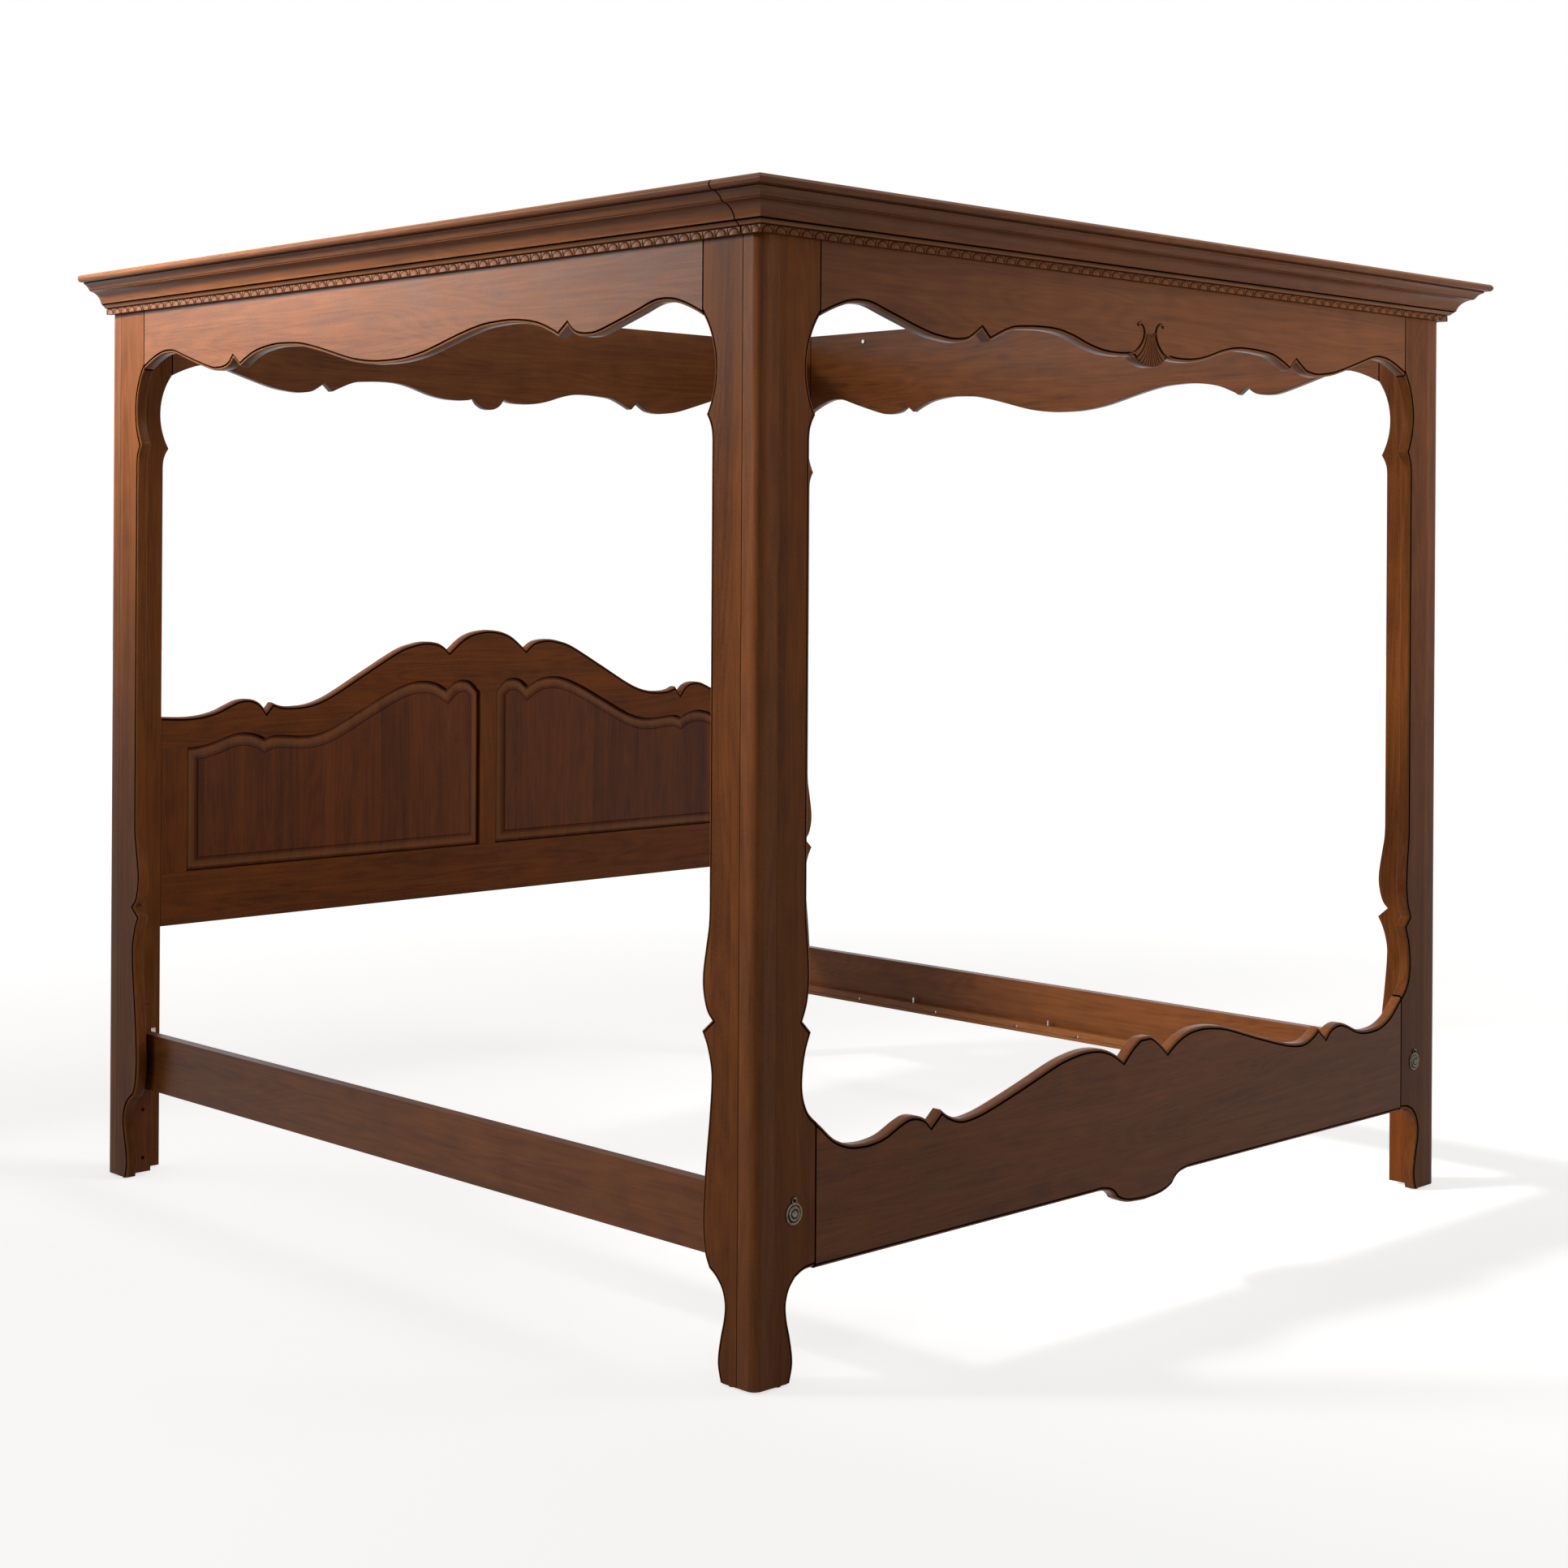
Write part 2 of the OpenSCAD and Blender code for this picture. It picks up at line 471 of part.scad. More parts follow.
// Holes for the bracket's screws, drawn in the left foot corner.
module bracket_holes() for (y = bracket_screw_y, z = bracket_screw_z)
    rod_x(y, z, cleat_in - screw_bite - 1, cleat_in + bracket_t + 1, screw_hole_r, 32);
module rail_left() color(wood) difference() {
    box([-hw + rail_in, -rail_y, rail_z0], [cleat_x, rail_y, rail_z1]);
    for (y = cleat_screw_y)
        rod_x(y, cleat_screw_z, cleat_x - screw_bite - 1, cleat_x + 1, screw_hole_r, 32);
    corner(corners[0]) bracket_holes();
    corner(corners[2]) bracket_holes();
}
module cleat_left() color(wood_pale) let (g = cleat_groove_z) difference() {
    translate([cleat_x, rail_y, rail_z0]) rotate([90, 0, 0]) linear_extrude(2 * rail_y)
        polygon([[0, 0], [cleat_t, 0], [cleat_t, g - 1], [cleat_t - 1.5, g - 0.3], [cleat_t - 1.5, g + 0.3],
            [cleat_t, g + 1], [cleat_t, cleat_h], [0, cleat_h]]);
    for (y = cleat_screw_y) {
        rod_x(y, cleat_screw_z, cleat_x - 1, cleat_x1 + 1, screw_hole_r, 32);
        rod_x(y, cleat_screw_z, cleat_x1 - cleat_sink, cleat_x1 + 1, head_hole_r, 32);
    }
    for (y = pin_y) translate([-hw + pin_in, y, cleat_z1 - pin_depth])
        cylinder(r = pin_r + pilot_gap, h = pin_depth + 1);
}
module rail_right() mirror([1, 0, 0]) rail_left();
module cleat_right() mirror([1, 0, 0]) cleat_left();
module cleat_screws() color(steel) for (s = [0, 1], y = cleat_screw_y) mirror([s, 0, 0]) {
    rod_x(y, cleat_screw_z, cleat_x - screw_bite, cleat_x1 - cleat_sink, screw_r, 32);
    rod_x(y, cleat_screw_z, cleat_x1 - cleat_sink, cleat_x1 - cleat_sink + head_h, head_r, 32);
}
module slat_pins() color(steel) for (s = [-1, 1], y = pin_y)
    translate([s * (hw - pin_in), y, cleat_z1 - pin_depth]) {
        cylinder(r = pin_r, h = pin_depth + pin_h - 1);
        translate([0, 0, pin_depth + pin_h - 1]) cylinder(r1 = pin_r, r2 = pin_r - 1, h = 1);
    }
module bracket_part() color(steel) difference() {
    union() {
        box([cleat_in, board_t, bolt_z - bracket_h / 2],
            [cleat_in + bracket_t, end_in + bracket_l, bolt_z + bracket_h / 2]);
        box([cleat_in, board_t, bolt_z - bracket_h / 2],
            [cleat_in + bracket_w, board_t + bracket_t, bolt_z + bracket_h / 2]);
    }
    rod_y(bolt_u, bolt_z, board_t - 1, board_t + bracket_t + 1, bolt_r + bolt_gap);
    bracket_holes();
}
module bracket_screws() color(steel) each_corner() for (y = bracket_screw_y, z = bracket_screw_z) {
    rod_x(y, z, cleat_in - screw_bite, cleat_in + bracket_t, screw_r, 32);
    translate([cleat_in + bracket_t, y, z]) rotate([0, 90, 0])
        cylinder(r1 = head_r, r2 = head_r - 1.3, h = 2, $fn = 32);
}

// Bed bolts with washer and hexagon head, and the nuts inside the brackets.
washer_t = 1.6;
bolt_head_r = 1.9 * bolt_r;
bolt_head_h = 1.3 * bolt_r;
nut_y = board_t + bracket_t;
nut_h = 1.6 * bolt_r;
module bed_bolts() color(steel) each_corner() {
    rod_y(bolt_u, bolt_z, sink_d, nut_y + nut_h + 2, bolt_r);
    rod_y(bolt_u, bolt_z, sink_d - washer_t, sink_d, sink_r - 2);
    rod_y(bolt_u, bolt_z, sink_d - washer_t - bolt_head_h, sink_d - washer_t, bolt_head_r, 6);
}
module bolt_nuts() color(steel) each_corner() difference() {
    rod_y(bolt_u, bolt_z, nut_y, nut_y + nut_h, bolt_head_r, 6);
    rod_y(bolt_u, bolt_z, nut_y - 1, nut_y + nut_h + 1, bolt_r + pilot_gap);
}

// Half section of the cover's disc: [radius, height above its back]. A rim, a ring and a dome.
rosette = [[0, 0], [cover_r, 0], [cover_r, cover_t - 0.9], [cover_r - 1, cover_t],
    [cover_r - 2.6, cover_t], [cover_r - 4, 1.3], [cover_r - 5.6, 1.3], [cover_r - 6.8, 3],
    [cover_r - 8.4, 3.5], [cover_r - 10, 3], [cover_r - 11, 2.2], [cover_r - 12.4, 2.4],
    [cover_r - 13.6, dome_h - 1.4], [cover_r - 15.6, dome_h - 0.4], [0, dome_h]];
eye_r = 6;
module bolt_cover_part() color(pewter) difference() {
    union() {
        translate([bolt_u, -cover_gap, bolt_z]) rotate([90, 0, 0])
            rotate_extrude($fn = 64) polygon(rosette);
        translate([bolt_u, -cover_gap, pivot_z]) rotate([90, 0, 0]) linear_extrude(cover_t) {
            circle(r = eye_r);
            polygon([[-8, 15 - cover_drop], [8, 15 - cover_drop], [3.6, -4.2], [-3.6, -4.2]]);
        }
    }
    rod_y(bolt_u, pivot_z, -cover_gap - dome_h - 1, 1, pivot_r + pivot_play);
}
// The screw that a cover hangs on: its shank, its domed head 0.1 off the cover's face, and the slot.
pivot_end = board_t - 5;
pivot_head_y = -cover_gap - cover_t - 0.1;
module cover_screws() color(pewter) each_corner() difference() {
    union() {
        rod_y(bolt_u, pivot_z, pivot_head_y - 0.2, pivot_end, pivot_r, 32);
        translate([bolt_u, pivot_head_y, pivot_z]) rotate([90, 0, 0]) {
            cylinder(r = 2 * pivot_r, h = 1, $fn = 32);
            translate([0, 0, 1]) cylinder(r1 = 2 * pivot_r, r2 = 1.2 * pivot_r, h = 1.1, $fn = 32);
        }
    }
    box([bolt_u - 2 * pivot_r - 1, pivot_head_y - 3, pivot_z - 0.4],
        [bolt_u + 2 * pivot_r + 1, pivot_head_y - 1.3, pivot_z + 0.4]);
}

place() corner(corners[0]) column_part();  // column_fl
place() corner(corners[1]) column_part();  // column_fr
place() corner(corners[2]) column_part();  // column_hl
place() corner(corners[3]) column_part();  // column_hr
place() corner(corners[0]) side_board_part();  // side_board_fl
place() corner(corners[1]) side_board_part();  // side_board_fr
place() corner(corners[2]) side_board_part();  // side_board_hl
place() corner(corners[3]) side_board_part();  // side_board_hr
place() corner(corners[0]) end_board_part(foot_edge);  // foot_board_fl
place() corner(corners[1]) end_board_part(foot_edge);  // foot_board_fr
place() corner(corners[2]) end_board_part(head_edge);  // head_board_hl
place() corner(corners[3]) end_board_part(head_edge);  // head_board_hr
place() corner(corners[0]) block_part();  // block_fl
place() corner(corners[1]) block_part();  // block_fr
place() corner(corners[2]) block_part();  // block_hl
place() corner(corners[3]) block_part();  // block_hr
place() block_screws();
place() glides();
place() valance_end(-hl, foot_middle, top_z);  // valance_foot
place() valance_end(hl - board_t, head_middle, head_top_z);  // valance_head
place() valance_side(-hw);  // valance_left
place() valance_side(hw - board_t);  // valance_right
place() shell();
place() cornice_foot();
place() cornice_side();  // cornice_left
place() mirror([1, 0, 0]) cornice_side();  // cornice_right
place() cornice_screws();
place() head_crest();
place() head_bottom_rail();
place() head_stile_left();
place() head_stile_right();
place() head_muntin();
place() head_panel_left();
place() head_panel_right();
place() footboard();
place() rail_left();
place() rail_right();
place() cleat_left();
place() cleat_right();
place() cleat_screws();
place() slat_pins();
place() corner(corners[0]) bracket_part();  // bracket_fl
place() corner(corners[1]) bracket_part();  // bracket_fr
place() corner(corners[2]) bracket_part();  // bracket_hl
place() corner(corners[3]) bracket_part();  // bracket_hr
place() bracket_screws();
place() bed_bolts();
place() bolt_nuts();
place() cover_screws();
place() corner(corners[0]) bolt_cover_part();  // bolt_cover_fl
place() corner(corners[1]) bolt_cover_part();  // bolt_cover_fr
place() corner(corners[2]) bolt_cover_part();  // bolt_cover_hl
place() corner(corners[3]) bolt_cover_part();  // bolt_cover_hr
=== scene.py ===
# %% [markdown]
# # A four-poster canopy bed in stained alder
# The imported CAD model gives the exact outline and place of every board. This lesson dresses it: the
# scrolled edges get their rounded moulding and a dark line in the groove, painted as glaze and as
# shade, the cornice its carved band, the panels their coved borders, and every board its own piece of
# wood. The bed could be modelled from nothing instead, but its boards would then no longer meet their
# joints and screws exactly. Places are in metres, and MM turns millimetres into them.

# %% Load the bed
import json
import math

import bmesh
import bpy
from mathutils import Matrix, Vector
from mathutils.geometry import delaunay_2d_cdt


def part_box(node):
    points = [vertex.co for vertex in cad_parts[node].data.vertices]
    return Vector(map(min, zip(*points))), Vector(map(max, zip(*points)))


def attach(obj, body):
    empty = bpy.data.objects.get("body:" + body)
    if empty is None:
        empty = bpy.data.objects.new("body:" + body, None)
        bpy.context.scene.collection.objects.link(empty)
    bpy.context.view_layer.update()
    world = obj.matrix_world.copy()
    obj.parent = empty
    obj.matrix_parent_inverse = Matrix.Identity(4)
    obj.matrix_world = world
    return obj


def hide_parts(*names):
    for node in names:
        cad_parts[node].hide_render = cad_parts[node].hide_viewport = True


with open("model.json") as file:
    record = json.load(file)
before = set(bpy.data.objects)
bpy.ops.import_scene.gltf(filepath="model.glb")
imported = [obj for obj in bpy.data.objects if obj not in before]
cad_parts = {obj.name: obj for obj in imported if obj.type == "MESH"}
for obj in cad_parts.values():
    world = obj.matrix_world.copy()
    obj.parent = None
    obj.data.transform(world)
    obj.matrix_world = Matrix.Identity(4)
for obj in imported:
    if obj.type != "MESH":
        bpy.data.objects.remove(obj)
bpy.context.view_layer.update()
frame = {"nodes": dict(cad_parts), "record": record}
MM = 0.001
NEAR = 0.01 * MM
X, Y, Z = 0, 1, 2

# %% [markdown]
# ## Camera
# The photograph is taken at eye height, looking level across the nearest post. The camera could be
# tilted down to frame the bed, but its posts would then lean together. A level camera keeps them
# upright, and a small vertical shift frames the bed. Place, yaw and lens were solved from the bed's
# own level and upright edges, and the slight roll is that of a camera held by hand.

# %% Place the camera
camera_place = Vector((-4.0059, -4.0908, 1.3966))
camera_yaw = math.radians(44.386)
camera_roll = math.radians(0.34)
camera = bpy.data.objects.new("Camera", bpy.data.cameras.new("Camera"))
bpy.context.scene.collection.objects.link(camera)
camera.data.sensor_width = 36
camera.data.lens = 58.4
camera.data.shift_y = -0.142
ahead = Vector((math.sin(camera_yaw), math.cos(camera_yaw), 0))
level = Vector((ahead.y, -ahead.x, 0))
side = level * math.cos(camera_roll) + Vector((0, 0, 1)) * math.sin(camera_roll)
above = side.cross(ahead)
camera.matrix_world = Matrix.Translation(camera_place) @ Matrix((side, above, -ahead)).transposed().to_4x4()
bpy.context.scene.camera = camera
print("camera", round(camera_place.xy.length, 2), "m from the middle of the bed")

# %% [markdown]
# ## Nodes by one helper
# Materials and geometry trees are both node trees, so one function serves both: it adds a node, sets
# its options, and fills each socket with a value or with a link from another node's output. Nodes can
# also be laid out by hand in the editor, but a script can be read, changed and run again.

# %% Define the node helper and the colour helper
def add(tree, kind, options=None, sockets=None):
    """Adds a node with its settings, and a value or another node's output for each named input."""
    node = tree.nodes.new(kind)
    for name, value in (options or {}).items():
        setattr(node, name, value)
    for key, value in (sockets or {}).items():
        if isinstance(value, bpy.types.NodeSocket):
            tree.links.new(value, node.inputs[key])
        else:
            node.inputs[key].default_value = value
    return node


def linear(hex_colour):
    """Turns an sRGB hex colour into the linear values that a shader reads."""
    parts = [int(hex_colour[i:i + 2], 16) / 255 for i in (1, 3, 5)]
    return [p / 12.92 if p <= 0.04045 else ((p + 0.055) / 1.055) ** 2.4 for p in parts] + [1]


# %% [markdown]
# ## Stained alder
# Alder is a close, even wood: faint darker streaks along the grain, a soft mottle that shows where the
# stain sank in, and almost no visible pores. It was stained, glazed in the grooves with a near-black
# brown, and varnished to a satin sheen. A picture of wood could be wrapped on, but it would repeat and
# stretch. Here the pattern is a sum of noises, stretched along the grain and read from Object
# coordinates, so it runs through each board as the real grain does. Every board carries two small
# attributes: its number, which moves the pattern to another part of the tree, and one for glaze, shade
# and highlight. It is 1 where the near-black brown is painted into grooves, joints and inner corners,
# both as the glaze and as the shade that falls there. It is below 0 where a lighter colour is painted on
# rounded edges as a highlight.

# %% Choose the sizes of the grain
# Each noise has its width across the grain in mm, how fast it changes along the grain compared with
# across it, its detail, its weight in the tone, and its distortion.
GROWTH = (75, 0.1, 1.0, 0.32, 0.3)
FIGURE = (16, 0.04, 3.0, 0.42, 0.5)
STREAK = (3, 0.03, 2.0, 0.34, 0.0)
MOTTLE = (42, 0.5, 3.0, 0.34, 0.0)
# Alder's pores are under 0.1 mm, too fine to show, so they are drawn about ten times as coarse.
PORES = (1.1, 0.35, 1.0, 0.42, 0.0)
GROWTH_WAVES = 95.0
WAVE_WEIGHT = 0.045
# How far boards, or the staves of one board, differ in tone, and where the darkest of them starts.
BOARD_TONE = (0.14, -0.51)
STAVE_TONE = (0.26, -0.56)
# How far the pattern moves from one board to the next, in metres along each axis.
BOARD_STEP = (3.7, 2.3, 5.1)
STAVES_APART = 9.0
# The near-black brown painted into grooves, joints and inner corners, as glaze and as painted shade, and the
# lighter colour painted on rounded edges as a highlight.
GLAZE_AND_SHADE = "#0d0501"
PAINTED_HIGHLIGHT = "#a5703f"
SATIN = 0.33
MATT = 0.85
print("finest grain drawn:", PORES[0], "mm")


# %% Give each board its own part of the tree
def board_place(tree, stave_mm):
    """Where in the tree a point of a board lies, and the number of its board or glued stave."""
    place = add(tree, "ShaderNodeTexCoord").outputs["Object"]
    piece = add(tree, "ShaderNodeAttribute", {"attribute_name": "board"}).outputs["Fac"]
    if stave_mm:
        parts = add(tree, "ShaderNodeSeparateXYZ", None, {0: place}).outputs
        across = add(tree, "ShaderNodeMath", {"operation": "ADD"}, {0: parts[X], 1: parts[Y]}).outputs[0]
        cell = add(tree, "ShaderNodeTexVoronoi", {"voronoi_dimensions": "1D"},
                   {"W": across, "Scale": 1 / (stave_mm * MM), "Randomness": 0.55}).outputs["Color"]
        stave = add(tree, "ShaderNodeSeparateXYZ", None, {0: cell}).outputs[0]
        piece = add(tree, "ShaderNodeMath", {"operation": "MULTIPLY_ADD"},
                    {0: stave, 1: STAVES_APART, 2: piece}).outputs[0]
    jump = add(tree, "ShaderNodeCombineXYZ", None, {0: piece, 1: piece, 2: piece}).outputs[0]
    moved = add(tree, "ShaderNodeVectorMath", {"operation": "MULTIPLY_ADD"},
                {0: jump, 1: BOARD_STEP, 2: place}).outputs[0]
    return moved, piece


def grow(tree, moved, grain, noise_size, total):
    """Adds one noise to the tone so far, and returns both."""
    width_mm, pace, detail, weight, distortion = noise_size
    scale = [1 / (width_mm * MM)] * 3
    scale[grain] *= pace
    seen = add(tree, "ShaderNodeMapping", None, {"Vector": moved, "Scale": scale}).outputs[0]
    noise = add(tree, "ShaderNodeTexNoise", None,
                {"Vector": seen, "Scale": 1.0, "Detail": detail, "Distortion": distortion}).outputs["Fac"]
    total = add(tree, "ShaderNodeMath", {"operation": "MULTIPLY_ADD"}, {0: noise, 1: weight, 2: total})
    return noise, total.outputs[0]


# %% Stain, glaze and varnish the wood
def make_wood(name, grain, dark, light, shine, stave_mm=0.0):
    """Wood with its grain along an axis, whole or in staves. shine is the level of its reflection."""
    material = bpy.data.materials.new(name)
    material.use_nodes = True
    tree = material.node_tree
    shader = tree.nodes["Principled BSDF"]
    moved, piece = board_place(tree, stave_mm)
    tone_range, darkest = STAVE_TONE if stave_mm else BOARD_TONE
    tone = add(tree, "ShaderNodeTexWhiteNoise", {"noise_dimensions": "1D"}, {"W": piece}).outputs["Value"]
    total = add(tree, "ShaderNodeMath", {"operation": "MULTIPLY_ADD"},
                {0: tone, 1: tone_range, 2: darkest}).outputs[0]
    growth, total = grow(tree, moved, grain, GROWTH, total)
    _, total = grow(tree, moved, grain, FIGURE, total)
    streak, total = grow(tree, moved, grain, STREAK, total)
    mottle, total = grow(tree, moved, grain, MOTTLE, total)
    _, total = grow(tree, moved, grain, PORES, total)
    waves = add(tree, "ShaderNodeMath", {"operation": "MULTIPLY"}, {0: growth, 1: GROWTH_WAVES}).outputs[0]
    waves = add(tree, "ShaderNodeMath", {"operation": "SINE"}, {0: waves}).outputs[0]
    total = add(tree, "ShaderNodeMath", {"operation": "MULTIPLY_ADD"},
                {0: waves, 1: WAVE_WEIGHT, 2: total}).outputs[0]
    ramp = add(tree, "ShaderNodeValToRGB", None, {"Fac": total})
    for stop, position, colour in zip(ramp.color_ramp.elements, (0.16, 0.86), (dark, light)):
        stop.position = position
        stop.color = linear(colour)
    # The attribute darkens grooves, joints and inner corners with the near-black brown, as glaze and as
    # painted shade, and there hides the sheen because the glaze dries matt. Below 0 it lightens rounded
    # edges with a painted highlight.
    glaze_shade_highlight = add(tree, "ShaderNodeAttribute", {"attribute_name": "glaze_shade_and_highlight"}).outputs["Fac"]
    highlight_factor = add(tree, "ShaderNodeMath", {"operation": "MULTIPLY"}, {0: glaze_shade_highlight, 1: -1.0}).outputs[0]
    colour = ramp.outputs["Color"]
    for factor, tint in ((glaze_shade_highlight, GLAZE_AND_SHADE), (highlight_factor, PAINTED_HIGHLIGHT)):
        colour = add(tree, "ShaderNodeMix", {"data_type": "RGBA", "clamp_factor": True},
                     {"Factor": factor, "A": colour, "B": linear(tint)}).outputs["Result"]
    tree.links.new(colour, shader.inputs["Base Color"])
    gloss = add(tree, "ShaderNodeMapRange", None,
                {"Value": mottle, "From Min": 0.3, "From Max": 0.7, "To Min": SATIN - 0.02,
                 "To Max": SATIN + 0.03}).outputs[0]
    gloss = add(tree, "ShaderNodeMapRange", None, {"Value": glaze_shade_highlight, "To Min": gloss, "To Max": MATT})
    tree.links.new(gloss.outputs[0], shader.inputs["Roughness"])
    sheen = add(tree, "ShaderNodeMapRange", None, {"Value": glaze_shade_highlight, "To Min": shine, "To Max": 0.0})
    tree.links.new(sheen.outputs[0], shader.inputs["Specular IOR Level"])
    relief = add(tree, "ShaderNodeBump", None, {"Height": streak, "Strength": 0.06, "Distance": 0.2 * MM})
    tree.links.new(relief.outputs[0], shader.inputs["Normal"])
    shader.inputs["IOR"].default_value = 1.5
    return material


# %% Make one wood for each stain and each direction of the grain
# The varnish has the index of any clear varnish, 1.5. Its level is set low, because the white room
# round the bed would otherwise lay a grey haze over the dark wood.
GRAIN_NAMES = ("across", "lengthways", "upright")
# Alder stained a warm mid brown: soft streaks and an even satin sheen, a little more along the sides.
alder = [make_wood("Alder_stained_grain_" + word, axis, "#4a2610", "#854e27", (0.11, 0.16, 0.09)[axis])
         for axis, word in enumerate(GRAIN_NAMES)]
# The same stain on posts glued up from staves, which differ a little in tone.
alder_staves = make_wood("Alder_stained_glued_staves", Z, "#44210a", "#7c461d", 0.07, 48.0)
# The headboard's stain is a little darker, so its grain shows less.
dark_alder = [make_wood("Alder_dark_stain_grain_" + word, axis, "#3f1d05", "#7a4016", 0.1)
              for axis, word in enumerate(GRAIN_NAMES)]
dark_staves = make_wood("Alder_dark_stain_glued_staves", Z, "#331302", "#6b3510", 0.14, 85.0)
# The cleats are pine with a thin coat of stain, paler and more orange than the boards.
pale_pine = [make_wood("Pine_light_stain_grain_" + word, axis, "#6a3a1c", "#9a6236", 0.2)
             for axis, word in enumerate(GRAIN_NAMES)]
print("woods:", ", ".join(wood.name for wood in alder + dark_alder + pale_pine))

# %% [markdown]
# ## Metals and the glides
# The screws, bolts and brackets are zinc-plated steel: pale grey, with the fine grit of the plating.
# The swinging covers over the bed bolts are cast zinc, antiqued: dull silver with a nearly black
# patina in the hollows. The glides are moulded polyethylene. A plain colour would do for pieces this
# small, but close by it looks like paint. So one noise feeds colour, roughness and a slight bump
# together. The patina colour follows the same attribute as the glaze and painted shade on the wood, and
# on the screws that hold the covers it is painted shade.

# %% Make the metals and the glide plastic
def make_gritty(name, bright, dull, rough, grit_mm, metallic=1.0, patina_and_shade_colour=None):
    """A plated, cast or moulded surface with grit of the given size."""
    material = bpy.data.materials.new(name)
    material.use_nodes = True
    tree = material.node_tree
    shader = tree.nodes["Principled BSDF"]
    place = add(tree, "ShaderNodeTexCoord").outputs["Object"]
    grit = add(tree, "ShaderNodeTexNoise", None,
               {"Vector": place, "Scale": 1 / (grit_mm * MM), "Detail": 4.0}).outputs["Fac"]
    ramp = add(tree, "ShaderNodeValToRGB", None, {"Fac": grit})
    for stop, position, colour in zip(ramp.color_ramp.elements, (0.35, 0.65), (dull, bright)):
        stop.position = position
        stop.color = linear(colour)
    colour = ramp.outputs["Color"]
    # Where the attribute is 1 the colour turns to the patina colour: real patina in a cover's hollows, and
    # painted shade on the screws that hold the covers.
    if patina_and_shade_colour:
        patina_and_shade = add(tree, "ShaderNodeAttribute", {"attribute_name": "glaze_shade_and_highlight"}).outputs["Fac"]
        colour = add(tree, "ShaderNodeMix", {"data_type": "RGBA", "clamp_factor": True},
                     {"Factor": patina_and_shade, "A": colour, "B": linear(patina_and_shade_colour)}).outputs["Result"]
    tree.links.new(colour, shader.inputs["Base Color"])
    shader.inputs["Metallic"].default_value = metallic
    gloss = add(tree, "ShaderNodeMapRange", None,
                {"Value": grit, "To Min": rough - 0.08, "To Max": rough + 0.1})
    tree.links.new(gloss.outputs[0], shader.inputs["Roughness"])
    relief = add(tree, "ShaderNodeBump", None, {"Height": grit, "Strength": 0.1, "Distance": 0.05 * MM})
    tree.links.new(relief.outputs[0], shader.inputs["Normal"])
    return material


# Bright plating, a cast face with softer and larger mottles, and plastic with a dull moulded skin.
# Real grit is finer than 0.1 mm. It is drawn as coarse as these small pieces need for it to show.
zinc = make_gritty("Steel_zinc_plated", "#c9c8c2", "#96958f", 0.32, 1.5)
pewter = make_gritty("Zinc_cast_antiqued", "#746c60", "#4c463d", 0.34, 6.0, patina_and_shade_colour="#1b1610")
plastic = make_gritty("Polyethylene_moulded_dark", "#3a3632", "#2b2825", 0.5, 3.0, metallic=0.0)
print("hardware:", zinc.name, pewter.name, plastic.name)

# %% [markdown]
# ## Finishing a piece
# Each new piece replaces one CAD node, rides on the same body and takes the material given for it.
# That could be typed out for every piece, but one left out would show twice or stay behind when its
# body moves, so a single helper does all three. It also stores the board's number and turns on smooth
# shading, with every real corner kept crisp. A face square to an axis is flat, so it is shaded flat.

# %% Define the finishing helpers
bodies = {n: b for b, ns in frame["record"]["behaviour"]["bodies"].items() for n in ns}
pieces = {}
SQUARE = 0.99999


def finish_piece(mesh, node, name, material, crisp=28, added=False):
    """Puts a piece in the scene. It stands for the CAD node, or with added it only sits on it."""
    piece = bpy.data.objects.new(name, mesh)
    bpy.context.scene.collection.objects.link(piece)
    mesh.materials.clear()
    mesh.materials.append(material)
    number = mesh.attributes.new("board", "FLOAT", "POINT")
    number.data.foreach_set("value", [len(pieces) + 1.0] * len(mesh.vertices))
    mesh.shade_smooth()
    mesh.set_sharp_from_angle(angle=math.radians(crisp))
    for face in mesh.polygons:
        if max(abs(c) for c in face.normal) > SQUARE:
            face.use_smooth = False
    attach(piece, bodies[node])
    if not added:
        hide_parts(node)
    pieces[name] = piece
    return piece


def merged_copy(node):
    """The CAD node's triangles joined into one closed mesh with flat faces whole."""
    bm = bmesh.new()
    bm.from_mesh(frame["nodes"][node].data)
    bmesh.ops.remove_doubles(bm, verts=bm.verts, dist=0.005 * MM)
    return bm


def to_mesh(bm, name):
    """Turns an edit mesh into a plain one, and says where it isn't closed."""
    gaps = [e for e in bm.edges if not e.is_manifold]
    if gaps:
        print("open edges in", name, len(gaps), [round(c, 4) for c in gaps[0].verts[0].co])
    mesh = bpy.data.meshes.new(name)
    bm.to_mesh(mesh)
    bm.free()
    return mesh


# %% [markdown]
# ## Scrolled boards
# A router ran round every scrolled edge of the bed. It left a quarter-round and, behind it, a narrow
# groove where the dark glaze collects and where shade falls; the groove is painted near-black for both,
# and the quarter-round a little lighter as a painted highlight. A Bevel modifier rounds an edge, but it
# can't cut the groove and it tangles at the sharp teeth of the scroll. Here the outline of the CAD board
# is read, and each of its free edges is offset inwards ring by ring, each ring at its own depth. A
# constrained Delaunay triangulation then fills the face between the rings.

